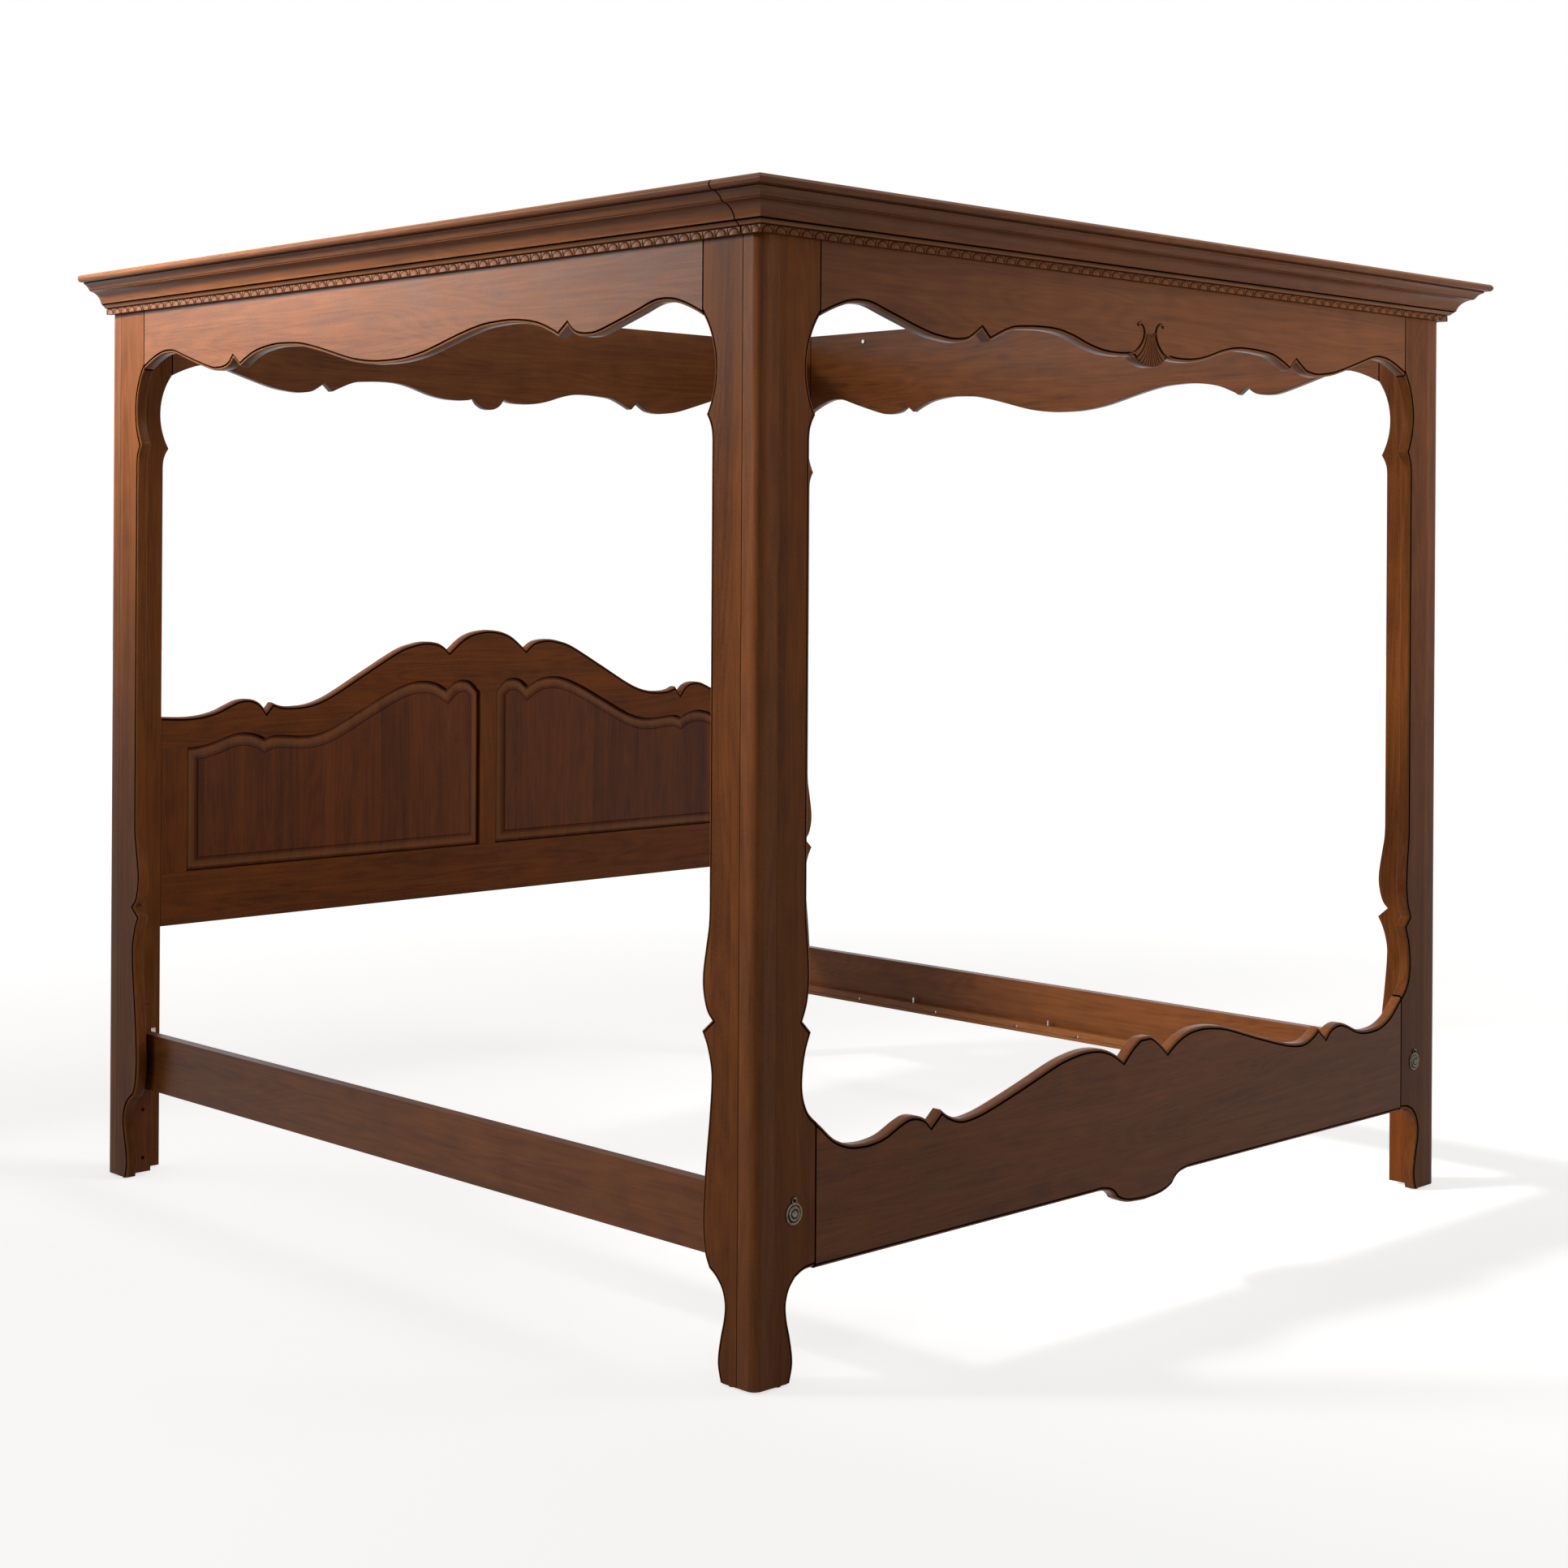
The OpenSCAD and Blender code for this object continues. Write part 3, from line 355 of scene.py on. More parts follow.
# %% Read outlines from a CAD board
def face_loops(bm, faces):
    """The closed loops of vertices round a flat set of faces, the longest first."""
    chosen = set(faces)
    follow = {}
    for face in faces:
        for loop in face.loops:
            if sum(f in chosen for f in loop.edge.link_faces) == 1:
                follow[loop.vert] = loop.link_loop_next.vert
    loops = []
    while follow:
        start = next(iter(follow))
        chain = [start]
        step = follow.pop(start)
        while step is not start:
            chain.append(step)
            step = follow.pop(step)
        loops.append(chain)
    return sorted(loops, key=lambda c: -sum((a.co - b.co).length for a, b in zip(c, c[1:] + c[:1])))


def signed_area(points):
    return sum(a.x * b.y - b.x * a.y for a, b in zip(points, points[1:] + points[:1])) / 2


# %% Offset a free edge inwards
# At a sharp corner the offset is divided by no less than MITRE_LIMIT. A small loop that is cut off has
# at most LOOP_POINTS points.
MITRE_LIMIT = 0.2
LOOP_POINTS = 16


def crossing(a, b, c, d):
    """Where the piece of line from a to b crosses the one from c to d, if it does."""
    u = b - a
    v = d - c
    w = c - a
    bottom = u.x * v.y - u.y * v.x
    if abs(bottom) < 1e-12:
        return None
    t = (w.x * v.y - w.y * v.x) / bottom
    r = (w.x * u.y - w.y * u.x) / bottom
    return a + u * t if 0 <= t <= 1 and 0 <= r <= 1 else None


def offset_path(path, distance, first, last, low, high):
    """A path moved to its left by a distance, from first to last, and kept inside a box. The small loops
    that a sharp tooth or a tight curve makes are cut off where they cross themselves."""
    normals = []
    for a, b in zip(path, path[1:]):
        run = (b - a).normalized()
        normals.append(Vector((-run.y, run.x)))
    moved = [first]
    for i in range(1, len(path) - 1):
        mitre = normals[i - 1] + normals[i]
        q = path[i] + mitre * distance / max(1 + normals[i - 1].dot(normals[i]), MITRE_LIMIT)
        if low.x < q.x < high.x and low.y < q.y < high.y:
            moved.append(q)
    moved.append(last)
    i = 0
    while i < len(moved) - 3:
        for j in range(min(i + LOOP_POINTS, len(moved) - 2), i + 1, -1):
            corner = crossing(moved[i], moved[i + 1], moved[j], moved[j + 1])
            if corner:
                moved[i + 1:j + 1] = [corner]
                break
        i += 1
    return moved[1:-1]


# %% Tell the scrolled edges from the straight ones
ON_SIDE = 0.02 * MM
SHORTEST_SEAM = 15 * MM


def flat_box(outline):
    low = Vector((min(p.x for p in outline), min(p.y for p in outline)))
    high = Vector((max(p.x for p in outline), max(p.y for p in outline)))
    return low, high


def free_paths(outline):
    """The runs of an outline that don't lie on the sides of its own box: the scrolled edges."""
    box = flat_box(outline)
    count = len(outline)

    def on_box_side(i):
        a, b = outline[i], outline[(i + 1) % count]
        return (a - b).length > SHORTEST_SEAM and any(
            abs(a[k] - end[k]) < ON_SIDE and abs(b[k] - end[k]) < ON_SIDE for k in (0, 1) for end in box)

    on_seam = [on_box_side(i) for i in range(count)]
    runs = []
    for i in range(count):
        if not on_seam[i] and on_seam[i - 1]:
            run = [i]
            while not on_seam[run[-1] % count]:
                run.append(run[-1] + 1)
            runs.append([k % count for k in run])
    return runs


# %% Measure from a point to the outline
def inside(point, loop):
    """Whether a point lies in a loop: a ray from it crosses the loop an odd number of times."""
    odd = False
    for a, b in zip(loop, loop[1:] + loop[:1]):
        if (a.y > point.y) != (b.y > point.y):
            if point.x < (b.x - a.x) * (point.y - a.y) / (b.y - a.y) + a.x:
                odd = not odd
    return odd


def distance_to(point, paths):
    """The shortest distance from a point to any of the paths."""
    best = 1.0
    for path in paths:
        for a, b in zip(path, path[1:]):
            t = min(max((point - a).dot(b - a) / (b - a).length_squared, 0), 1)
            best = min(best, (point - a - (b - a) * t).length)
    return best


# %% Draw the router's profile
# Each profile is a row of steps: distance from the edge, depth below the face, and the value for glaze,
# painted shade and painted highlight.
ROUND = 4.6 * MM
SHOULDER = 0.9 * MM
GROOVE = 2.4 * MM
EASE = 2 * MM
quarter = [math.radians(a) for a in (0, 22.5, 45, 67.5, 90)]
# The quarter-round is painted a little lighter, below 0, as a highlight. The groove behind it is painted
# near-black, at 1, as glaze and as the shade that falls in it.
routed = [(ROUND * (1 - math.cos(a)), SHOULDER + ROUND * (1 - math.sin(a)), bead_highlight)
          for a, bead_highlight in zip(quarter, (0.0, -0.1, -0.25, -0.15))]
routed += [(ROUND, SHOULDER, 0.5), (ROUND + 0.4 * MM, GROOVE, 1.0), (ROUND + 1.9 * MM, GROOVE, 1.0),
           (ROUND + 2.6 * MM, 0.1 * MM, 1.0), (ROUND + 3.1 * MM, 0.0, 0.7), (ROUND + 3.9 * MM, 0.0, 0.0)]
eased = [(EASE * (1 - math.cos(a)), EASE * (1 - math.sin(a)), 0.0) for a in quarter]
print("router profile:", len(routed), "rings on the face and", len(eased), "on the back")


def level_at(profile, distance):
    """Depth, and the value for glaze, painted shade and painted highlight, of a router profile at a distance
    from the edge.
    """
    for (d0, h0, g0), (d1, h1, g1) in zip(profile, profile[1:]):
        if d0 <= distance <= d1 + 1e-9:
            t = (distance - d0) / (d1 - d0)
            return h0 + (h1 - h0) * t, g0 + (g1 - g0) * t
    return 0.0, 0.0


# %% Fill a face between its rings
# The triangulation works in millimetres, because its tolerances suit numbers near 1.
PER_METRE = 1000


def closed(base, count):
    """The edges of a closed ring of points that are numbered from base."""
    return [(base + i, base + (i + 1) % count) for i in range(count)]


def fill_rings(bm, points, levels, edges, border, beyond, to_bed, holes=(), pick=0):
    """Fills a flat shape with triangles, each corner at its own depth and its value for glaze, painted shade
    and painted highlight.

    The first `border` points are the outline, and edges join points into rings. levels holds the depth
    and the value for glaze, painted shade and painted highlight of each point, and beyond gives them where
    the filling adds one. Where rings share a point, pick says which ring's level counts. Returns the
    corners made for the outline."""
    glaze_shade_and_highlight = bm.verts.layers.float["glaze_shade_and_highlight"]
    scaled = [p * PER_METRE for p in points]
    found, _, faces, sources, _, _ = delaunay_2d_cdt(scaled, edges, [list(range(border))], 1, 1e-5)
    made = []
    rim = {}
    for p, source in zip(found, sources):
        depth, tint = levels[source[pick]] if source else beyond(p / PER_METRE)
        made.append(bm.verts.new(to_bed(p / PER_METRE, depth)))
        made[-1][glaze_shade_and_highlight] = tint
        rim.update({i: made[-1] for i in source if i < border})
    for face in faces:
        centre = sum((found[i] for i in face), Vector((0, 0))) / (PER_METRE * len(face))
        if not any(inside(centre, hole) for hole in holes):
            bm.faces.new([made[i] for i in face])
    return rim


# %% Cut a joint line
JOINT = 1.2 * MM
LINE = 0.8 * MM


def cut_joint(bm, axis, at, glaze_shade_and_highlight, width=JOINT, faces=(), tint=1.0):
    """Tints the mesh beside the plane of a joint, dark for a tint above 0 and a painted highlight for one
    below 0, and bevels the corners that lie on the given faces.
    """
    normal = Vector([float(k == axis) for k in range(3)])
    for step in (-1.4, -1, 1, 1.4):
        geometry = bm.verts[:] + bm.edges[:] + bm.faces[:]
        bmesh.ops.bisect_plane(bm, geom=geometry, dist=1e-7, plane_co=normal * (at + step * width),
                               plane_no=normal)
    for v in bm.verts:
        if abs(v.co[axis] - at) < 1.1 * width:
            v[glaze_shade_and_highlight] = tint
            if abs(v.co[axis] - at) < 0.1 * width:
                for face_axis, level, inward in faces:
                    if abs(v.co[face_axis] - level) < 0.1 * width:
                        v.co[face_axis] += inward * width


# %% Set the ends of the rings along each seam
FLAT = (0.0, 0.0)


def outline_with_ring_ends(outline, runs, renewed):
    """The outline's points again, and between them those where a ring meets a seam.

    Returns them with their levels on both faces, whether the wall after each is made anew, and where
    each ring's end is in the list."""
    count = len(outline)
    steps = sorted({round(d, 7) for d, _, _ in routed + eased if d > 0})
    free = {i for run in runs for i in run}
    starts = {run[0] for run in runs}
    stops = {run[-1] for run in runs}
    points, levels, new_wall, ring_ends = [], [], [], {}

    def put(point, both_levels, anew):
        points.append(point)
        levels.append(both_levels)
        new_wall.append(anew)

    def put_ring_ends(i, inner, outer, order):
        seam = (outline[outer % count] - outline[i]).normalized()
        edge = (outline[inner % count] - outline[i]).normalized()
        sine = max(abs(seam.x * edge.y - seam.y * edge.x), 0.3)
        for d in steps[::order]:
            ring_ends[(i, d)] = len(points)
            put(outline[i] + seam * d / sine, (level_at(routed, d), level_at(eased, d)), True)

    for i, p in enumerate(outline):
        if i in starts:
            put_ring_ends(i, i + 1, i - 1, -1)
        put(p, (routed[0][1:], eased[0][1:]) if i in free else (FLAT, FLAT), i in renewed)
        if i in stops:
            put_ring_ends(i, i - 1, i + 1, 1)
    return points, levels, new_wall, ring_ends


# %% Dress one board
def dress_board(node, name, material, axis, joints=(), face_low=True, top_only=False, joint=JOINT,
                lines=()):
    """Replaces a flat CAD board by one with moulded edges.

    axis is the board's thickness, and face_low says that its moulded face is the lower one along it.
    joints are the places of glued joints, and lines those of fine lines, each with its tint: above 0 a dark
    line, below 0 a painted highlight."""
    bm = merged_copy(node)
    low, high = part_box(node)
    first, second = [k for k in range(3) if k != axis]
    sides = (low[axis], high[axis]) if face_low else (high[axis], low[axis])
    flats = [[f for f in bm.faces if abs(abs(f.normal[axis]) - 1) < 1e-3
              and abs(f.calc_center_median()[axis] - side) < NEAR] for side in sides]
    flat = lambda v: Vector((v.co[first], v.co[second]))
    key = lambda p: (round(p.x, 5), round(p.y, 5))
    loops = [face_loops(bm, fs) for fs in flats]
    outline = [flat(v) for v in loops[0][0]]
    if signed_area(outline) < 0:
        outline.reverse()
    count = len(outline)
    runs = free_paths(outline)
    if top_only:
        runs = [max(runs, key=lambda run: max(outline[i].y for i in run))]
    paths = [[outline[i] for i in run] for run in runs]
    renewed = {i for run in runs for i in run} | {(run[0] - 1) % count for run in runs}
    pairs = {frozenset((key(outline[i]), key(outline[(i + 1) % count]))) for i in renewed}
    old_walls = [f for f in bm.faces if frozenset(key(flat(v)) for v in f.verts) in pairs]
    holes = [[[flat(v) for v in loop] for loop in loops[k][1:]] for k in (0, 1)]
    bmesh.ops.delete(bm, geom=flats[0] + flats[1] + old_walls, context="FACES")
    glaze_shade_and_highlight = bm.verts.layers.float.new("glaze_shade_and_highlight")
    points, levels, new_wall, ring_ends = outline_with_ring_ends(outline, runs, renewed)
    total = len(points)

    rims = []
    for k, profile in ((0, routed), (1, eased)):
        inward = 1 if sides[k] < sides[1 - k] else -1
        ring_points = list(points)
        ring_levels = [both[k] for both in levels]
        edges = closed(0, total)
        for run, path in zip(runs, paths):
            for d, h, g in profile[1:]:
                start, stop = (ring_ends[(i, round(d, 7))] for i in (run[0], run[-1]))
                ring = offset_path(path, d, points[start], points[stop], *flat_box(outline))
                chain = [start, *range(len(ring_points), len(ring_points) + len(ring)), stop]
                ring_points += ring
                ring_levels += [(h, g)] * len(ring)
                edges += list(zip(chain, chain[1:]))
        for hole in holes[k]:
            edges += closed(len(ring_points), len(hole))
            ring_points += hole
            ring_levels += [FLAT] * len(hole)

        def to_bed(p, depth):
            co = [0.0, 0.0, 0.0]
            co[first], co[second] = p
            co[axis] = sides[k] + inward * depth
            return co

        beyond = lambda p: level_at(profile, distance_to(p, paths))
        rims.append(fill_rings(bm, ring_points, ring_levels, edges, total, beyond, to_bed, holes[k]))
    for i, j in closed(0, total):
        if new_wall[i]:
            bm.faces.new([rims[0][i], rims[0][j], rims[1][j], rims[1][i]])
    bmesh.ops.remove_doubles(bm, verts=bm.verts, dist=0.004 * MM)
    bmesh.ops.recalc_face_normals(bm, faces=bm.faces)
    inward = 1 if face_low else -1
    for at in joints:
        cut_joint(bm, first, at, glaze_shade_and_highlight, joint, [(axis, sides[0], inward), (axis, sides[1], -inward)])
    for at, tint in lines:
        cut_joint(bm, first, at, glaze_shade_and_highlight, LINE, tint=tint)
    return finish_piece(to_mesh(bm, name), node, name, material)


# %% Dress all the boards
# The posts' side boards have a dark line along the column, and their end boards a painted highlight
# there, a light line like the one the edge of a proud board would catch.
COLUMN_DARK_LINE_AND_HIGHLIGHT = {"side": 0.9, "end": -0.5}
seam_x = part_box("valance_foot")[1].x
seam_y = [corner.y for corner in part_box("valance_left")]
CORNERS = ("fl", "fr", "hl", "hr")
for corner in CORNERS:
    foot, left = corner[0] == "f", corner[1] == "l"
    board = "side_board_" + corner
    dress_board(board, "Post_side_" + corner, alder_staves, X, [seam_y[not foot]], face_low=left,
                lines=[(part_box(board)[not foot].y, COLUMN_DARK_LINE_AND_HIGHLIGHT["side"])])
    board = ("foot_board_" if foot else "head_board_") + corner
    dress_board(board, "Post_end_" + corner, alder_staves, Y, [-seam_x if left else seam_x], face_low=foot,
                lines=[(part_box(board)[not left].x, COLUMN_DARK_LINE_AND_HIGHLIGHT["end"])])
dress_board("valance_foot", "Valance_foot", alder[X], Y, [-seam_x, seam_x])
dress_board("valance_head", "Valance_head", alder[X], Y, [-seam_x, seam_x], face_low=False)
dress_board("valance_left", "Valance_left", alder[Y], X, seam_y, joint=1.5 * MM)
dress_board("valance_right", "Valance_right", alder[Y], X, seam_y, face_low=False)
dress_board("footboard", "Footboard", alder[X], Y, [-seam_x, seam_x], joint=2 * MM)
dress_board("head_crest", "Headboard_crest", dark_alder[X], Y, top_only=True)
print("dressed boards:", len(pieces))

# %% [markdown]
# ## Straight pieces
# Columns, rails, cleats and frame members are plain sawn pieces whose edges were eased with sandpaper.
# A Bevel modifier could do it, but the triangles of a CAD node have to be joined first. So a merged
# copy is beveled directly, only where two faces meet at a real corner. The CAD columns stand 1.5 mm
# behind the boards beside them. Real ones are sanded nearly flush, so they come out to within 0.3 mm.

# %% Ease the straight pieces
def ease_edges(node, name, material, width, segments=2, angle=40, swell=None, patina_and_shade=None):
    """Replaces a CAD piece by one with eased edges. swell moves its corners, and the last argument darkens
    them, as patina in a cover's hollows and as painted shade on the covers' screws.
    """
    bm = merged_copy(node)
    for v in bm.verts:
        v.co = swell(v.co) if swell else v.co
    bmesh.ops.dissolve_limit(bm, angle_limit=math.radians(0.5), verts=bm.verts, edges=bm.edges)
    sharp = [e for e in bm.edges if len(e.link_faces) == 2 and e.calc_face_angle() > math.radians(angle)]
    bmesh.ops.bevel(bm, geom=sharp, offset=width, segments=segments, profile=0.5, affect="EDGES",
                    clamp_overlap=True, loop_slide=True)
    glaze_shade_and_highlight = bm.verts.layers.float.new("glaze_shade_and_highlight")
    for v in bm.verts:
        v[glaze_shade_and_highlight] = patina_and_shade(v.co) if patina_and_shade else 0.0
    return finish_piece(to_mesh(bm, name), node, name, material)


SWELL = 1.2 * MM
SWELL_FROM = 30 * MM
SWELL_OVER = 20 * MM
post_reach = (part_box("side_board_fr")[1].x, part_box("head_board_hr")[1].y)
middle_y = (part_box("foot_board_fl")[0].y + post_reach[Y]) / 2


def swell_column(place):
    """Moves a column's two outer faces out, more the nearer they are to the outside of the post."""
    out = [abs(place.x), abs(place.y - middle_y)]
    ends = [post_reach[X], post_reach[Y] - middle_y]
    out = [o + SWELL * min(max((o - e + SWELL_FROM) / SWELL_OVER, 0), 1) for o, e in zip(out, ends)]
    return Vector((math.copysign(out[X], place.x), middle_y + math.copysign(out[Y], place.y - middle_y),
                   place.z))


for corner in CORNERS:
    ease_edges("column_" + corner, "Column_" + corner, alder[Z], 0.3 * MM, swell=swell_column)
    ease_edges("block_" + corner, "Corner_block_" + corner, dark_alder[Z], 1 * MM)
    ease_edges("bracket_" + corner, "Bracket_" + corner, zinc, 0.3 * MM)
for hand in ("left", "right"):
    ease_edges("rail_" + hand, "Rail_" + hand, alder[Y], 1.5 * MM)
    ease_edges("cleat_" + hand, "Cleat_" + hand, pale_pine[Y], 0.7 * MM)
    ease_edges("head_stile_" + hand, "Headboard_stile_" + hand, dark_alder[Z], 0.7 * MM)
ease_edges("head_bottom_rail", "Headboard_bottom_rail", dark_alder[X], 0.7 * MM)
ease_edges("head_muntin", "Headboard_middle_stile", dark_alder[Z], 0.7 * MM)
print("eased so far:", len(pieces))

# %% [markdown]
# ## Screws, bolts and bolt covers
# Every fastener of the bed is a CAD solid already, with its real head and slot, so each group only has
# its edges broken. The bolt covers are small castings with two raised rings round a boss and an eye at
# the top, where a screw holds them and lets them swing. The rings are solid in the CAD. The patina
# between them could be painted on by hand, but it is worked out from the distance to the middle, so
# that all four covers match.

# %% Dress the fasteners and the covers
BROKEN_EDGE = 0.15 * MM
for node in ("block_screws", "cleat_screws", "bracket_screws", "slat_pins", "cornice_screws",
             "bed_bolts", "bolt_nuts"):
    ease_edges(node, node.capitalize(), zinc, BROKEN_EDGE, 1)

# Radii in mm of the two hollows of a cover, and of its disc, past which is the eye.
OUTER_HOLLOW = (12.8, 15.6)
INNER_HOLLOW = (6.2, 8.6)
DISC = 18.5
cover_low, cover_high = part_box("bolt_cover_fr")
cover_x = (cover_low.x + cover_high.x) / 2
cover_z = cover_low.z + (cover_high.x - cover_low.x) / 2


def cover_patina(place):
    """How dark a bolt cover is: black in its two hollows, and a little worn off everywhere else."""
    r = math.hypot(abs(place.x) - cover_x, place.z - cover_z) / MM
    if any(inner < r < outer for inner, outer in (OUTER_HOLLOW, INNER_HOLLOW)):
        return 1.0
    return 0.1 if r > DISC else 0.0


for corner in CORNERS:
    ease_edges("bolt_cover_" + corner, "Bolt_cover_" + corner, pewter, BROKEN_EDGE, patina_and_shade=cover_patina)
# The screws that hold the covers are painted wholly in the dark patina colour, as painted shade: they sit
# deep in the shadow of the eye.
ease_edges("cover_screws", "Cover_screws", pewter, BROKEN_EDGE, 1, patina_and_shade=lambda place: 1.0)
ease_edges("glides", "Glides", plastic, 0.6 * MM)
print("pieces with covers and glides:", len(pieces))

# %% [markdown]
# ## Raised panels
# A raised panel has a wide cove round it that climbs from the frame to a flat field, and it is mitred
# at every corner of the scroll. A Bevel modifier would give one straight slope. The CAD panel has that
# border as flat steps whose outlines are already mitred, so they serve as the rings of the cove, and
# the same filling as on the boards joins them, with a small step at the field's edge.

# %% Build the panels
def offset_loop(loop, distance):
    """A closed loop moved to its left by a small distance."""
    moved = []
    for a, b, c in zip(loop[-1:] + loop[:-1], loop, loop[1:] + loop[:1]):
        before = (b - a).normalized()
        after = (c - b).normalized()
        n0 = Vector((-before.y, before.x))
        n1 = Vector((-after.y, after.x))
        moved.append(b + (n0 + n1) * distance / max(1 + n0.dot(n1), MITRE_LIMIT))
    return moved


def raised_panel(node, name, material):
    bm = merged_copy(node)
    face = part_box("head_stile_left")[0].y
    fronts = [f for f in bm.faces if f.normal.y < -0.999]
    depths = sorted({round(f.calc_center_median().y, 5) for f in fronts})
    loops = []
    for depth in depths:
        step = [f for f in fronts if abs(f.calc_center_median().y - depth) < NEAR]
        loop = [Vector((v.co.x, v.co.z)) for v in face_loops(bm, step)[0]]
        loops.append(loop if signed_area(loop) > 0 else loop[::-1])
    bm.free()
    field, upper, lower, foot, tongue = loops
    # Each ring has its outline, its depth behind the frame's face, and its value for glaze and painted
    # shade, which is high at the foot of the cove and at the field's step. Along the cove the value is below
    # 0, a painted highlight.
    rings = [(tongue, depths[-1] - face, 0.0), (foot, 8.3 * MM, 1.0),
             (offset_loop(foot, 2 * MM), 8.1 * MM, 0.5), (lower, 7.1 * MM, -0.22), (upper, 5.1 * MM, -0.1),
             (offset_loop(field, -1.5 * MM), 2.5 * MM, 0.35), (offset_loop(field, -0.4 * MM), 2.2 * MM, 0.9),
             (field, 1.5 * MM, 0.3), (offset_loop(field, 1.2 * MM), 1.5 * MM, 0.0)]
    bm = bmesh.new()
    bm.verts.layers.float.new("glaze_shade_and_highlight")
    points, levels, edges = [], [], []
    for ring, depth, tint in rings:
        edges += closed(len(points), len(ring))
        points += ring
        levels += [(depth, tint)] * len(ring)
    total = len(tongue)
    at_step = lambda p: (2.3 * MM, 0.5)
    to_bed = lambda p, depth: (p.x, face + depth, p.y)
    front = fill_rings(bm, points, levels, edges, total, at_step, to_bed, pick=-1)
    back = [bm.verts.new((p.x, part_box(node)[1].y, p.y)) for p in tongue]
    bm.faces.new(back)
    for i, j in closed(0, total):
        bm.faces.new([front[i], front[j], back[j], back[i]])
    bmesh.ops.recalc_face_normals(bm, faces=bm.faces)
    return finish_piece(to_mesh(bm, name), node, name, material)


for hand in ("left", "right"):
    raised_panel("head_panel_" + hand, "Headboard_panel_" + hand, dark_staves)
print("pieces with the panels:", len(pieces))

# %% [markdown]
# ## Cornice
# The cornice is one moulding run past three sides of the bed and mitred at the foot corners. It could
# be a curve with a bevel object, but a curve keeps no painted line along its section. So the section is
# drawn here point by point: a band to be carved, a small ledge, a deep cove, an ovolo and a round nose,
# with dark glaze and painted shade in every inner corner, and a painted highlight on the small rounds
# and the top of the nose. It is then swept along each run, and slanted at the mitres.

# %% Draw the cornice's section
def arc_through(a, b, c, count):
    """Points on the circle through three points, from a to c."""
    (ax, ay), (bx, by), (cx, cy) = a, b, c
    a2, b2, c2 = ax * ax + ay * ay, bx * bx + by * by, cx * cx + cy * cy
    d = 2 * (ax * (by - cy) + bx * (cy - ay) + cx * (ay - by))
    ux = (a2 * (by - cy) + b2 * (cy - ay) + c2 * (ay - by)) / d
    uy = (a2 * (cx - bx) + b2 * (ax - cx) + c2 * (bx - ax)) / d
    radius = math.hypot(ax - ux, ay - uy)
    start = math.atan2(ay - uy, ax - ux)
    turned = (math.atan2(cy - uy, cx - ux) - start) % math.tau
    if (math.atan2(by - uy, bx - ux) - start) % math.tau > turned:
        turned -= math.tau
    angles = [start + turned * i / count for i in range(count + 1)]
    return [(ux + radius * math.cos(t), uy + radius * math.sin(t)) for t in angles]


# Overhang and height in mm, and the value for glaze and painted shade there; a value below 0 is a
# painted highlight. The nose has a painted highlight above its middle.
BAND_OUT = 11.5
NOSE_HIGHLIGHT_FROM = 79
section = [(0, 0, 0), (BAND_OUT, 0, 0.5), (BAND_OUT, 1, 0), (BAND_OUT, 11.6, 0), (BAND_OUT, 13, 1),
           (13.2, 13.4, 0.6), (16.4, 14.2, 0), (17.4, 14.9, -0.3), (18.3, 16.6, -0.2), (20.4, 18.6, 0),
           (22.6, 20.2, 0), (23.6, 20.6, 1), (23.2, 21.6, 1), (24.4, 22.4, 1), (25.6, 22.7, 0.9),
           (26.3, 23.6, 0)]
section += [p + (0,) for p in arc_through((26.5, 25.5), (37, 42), (53, 49.4), 14)]
section += [(54.2, 49.6, -0.25), (54.6, 50.3, 0.2), (54.6, 51.3, 0.7), (55.4, 51.6, 0.4), (56.4, 52.6, 0)]
section += [p + (0,) for p in arc_through((57.3, 53.6), (62, 60), (68.4, 64.1), 8)]
section += [(69.4, 64.6, 0), (70, 65.4, 0.1), (70, 66.4, 0.8), (70, 67.3, 0.8), (70.6, 68, 0.4),
            (71.6, 68, 0)]
section += [p + (-0.35 if p[1] > NOSE_HIGHLIGHT_FROM else 0,)
            for p in arc_through((77, 68), (85, 76), (77, 84), 14)]
section += [(60, 84, 0), (0, 84, 0)]
print("points in the section:", len(section))

# %% Sweep it along a run
post_left, post_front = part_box("side_board_fl")[0].x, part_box("foot_board_fl")[0].y
cornice_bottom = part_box("cornice_left")[0].z
cornice_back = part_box("cornice_left")[1].y
return_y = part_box("cornice_left")[0].y


def sweep(node, name, stations, material):
    """Sweeps the section. A station has a function from overhang to plan, a shrink in mm and the dark tint
    of a joint.
    """
    bm = bmesh.new()
    glaze_shade_and_highlight = bm.verts.layers.float.new("glaze_shade_and_highlight")
    outline = [Vector((o * MM, h * MM)) for o, h, _ in section]
    rows = []
    for place, shrink, tint in stations:
        row = []
        for q, (_, _, own) in zip(offset_loop(outline, shrink * MM), section):
            row.append(bm.verts.new((*place(q.x), cornice_bottom + q.y)))
            row[-1][glaze_shade_and_highlight] = max(own, tint) if tint > 0 else own
        rows.append(row)
    for a, b in zip(rows, rows[1:]):
        for i, j in closed(0, len(section)):
            bm.faces.new([a[i], a[j], b[j], b[i]])
    bm.faces.new(rows[0])
    bm.faces.new(rows[-1])
    bmesh.ops.recalc_face_normals(bm, faces=bm.faces)
    return finish_piece(to_mesh(bm, name), node, name, material)


# %% Sweep the three runs
# The joint between a side run and its return shows as a V, this deep in mm and this wide to each side.
V_DEEP = 0.9
V_WIDE = 1.1 * MM


def across(side, y):
    """Straight across a side run, at y along it."""
    return lambda overhang: (side * (overhang - post_left), y)


def mitre(side):
    """Along the mitre at a foot corner."""
    return lambda overhang: (side * (overhang - post_left), post_front - overhang)


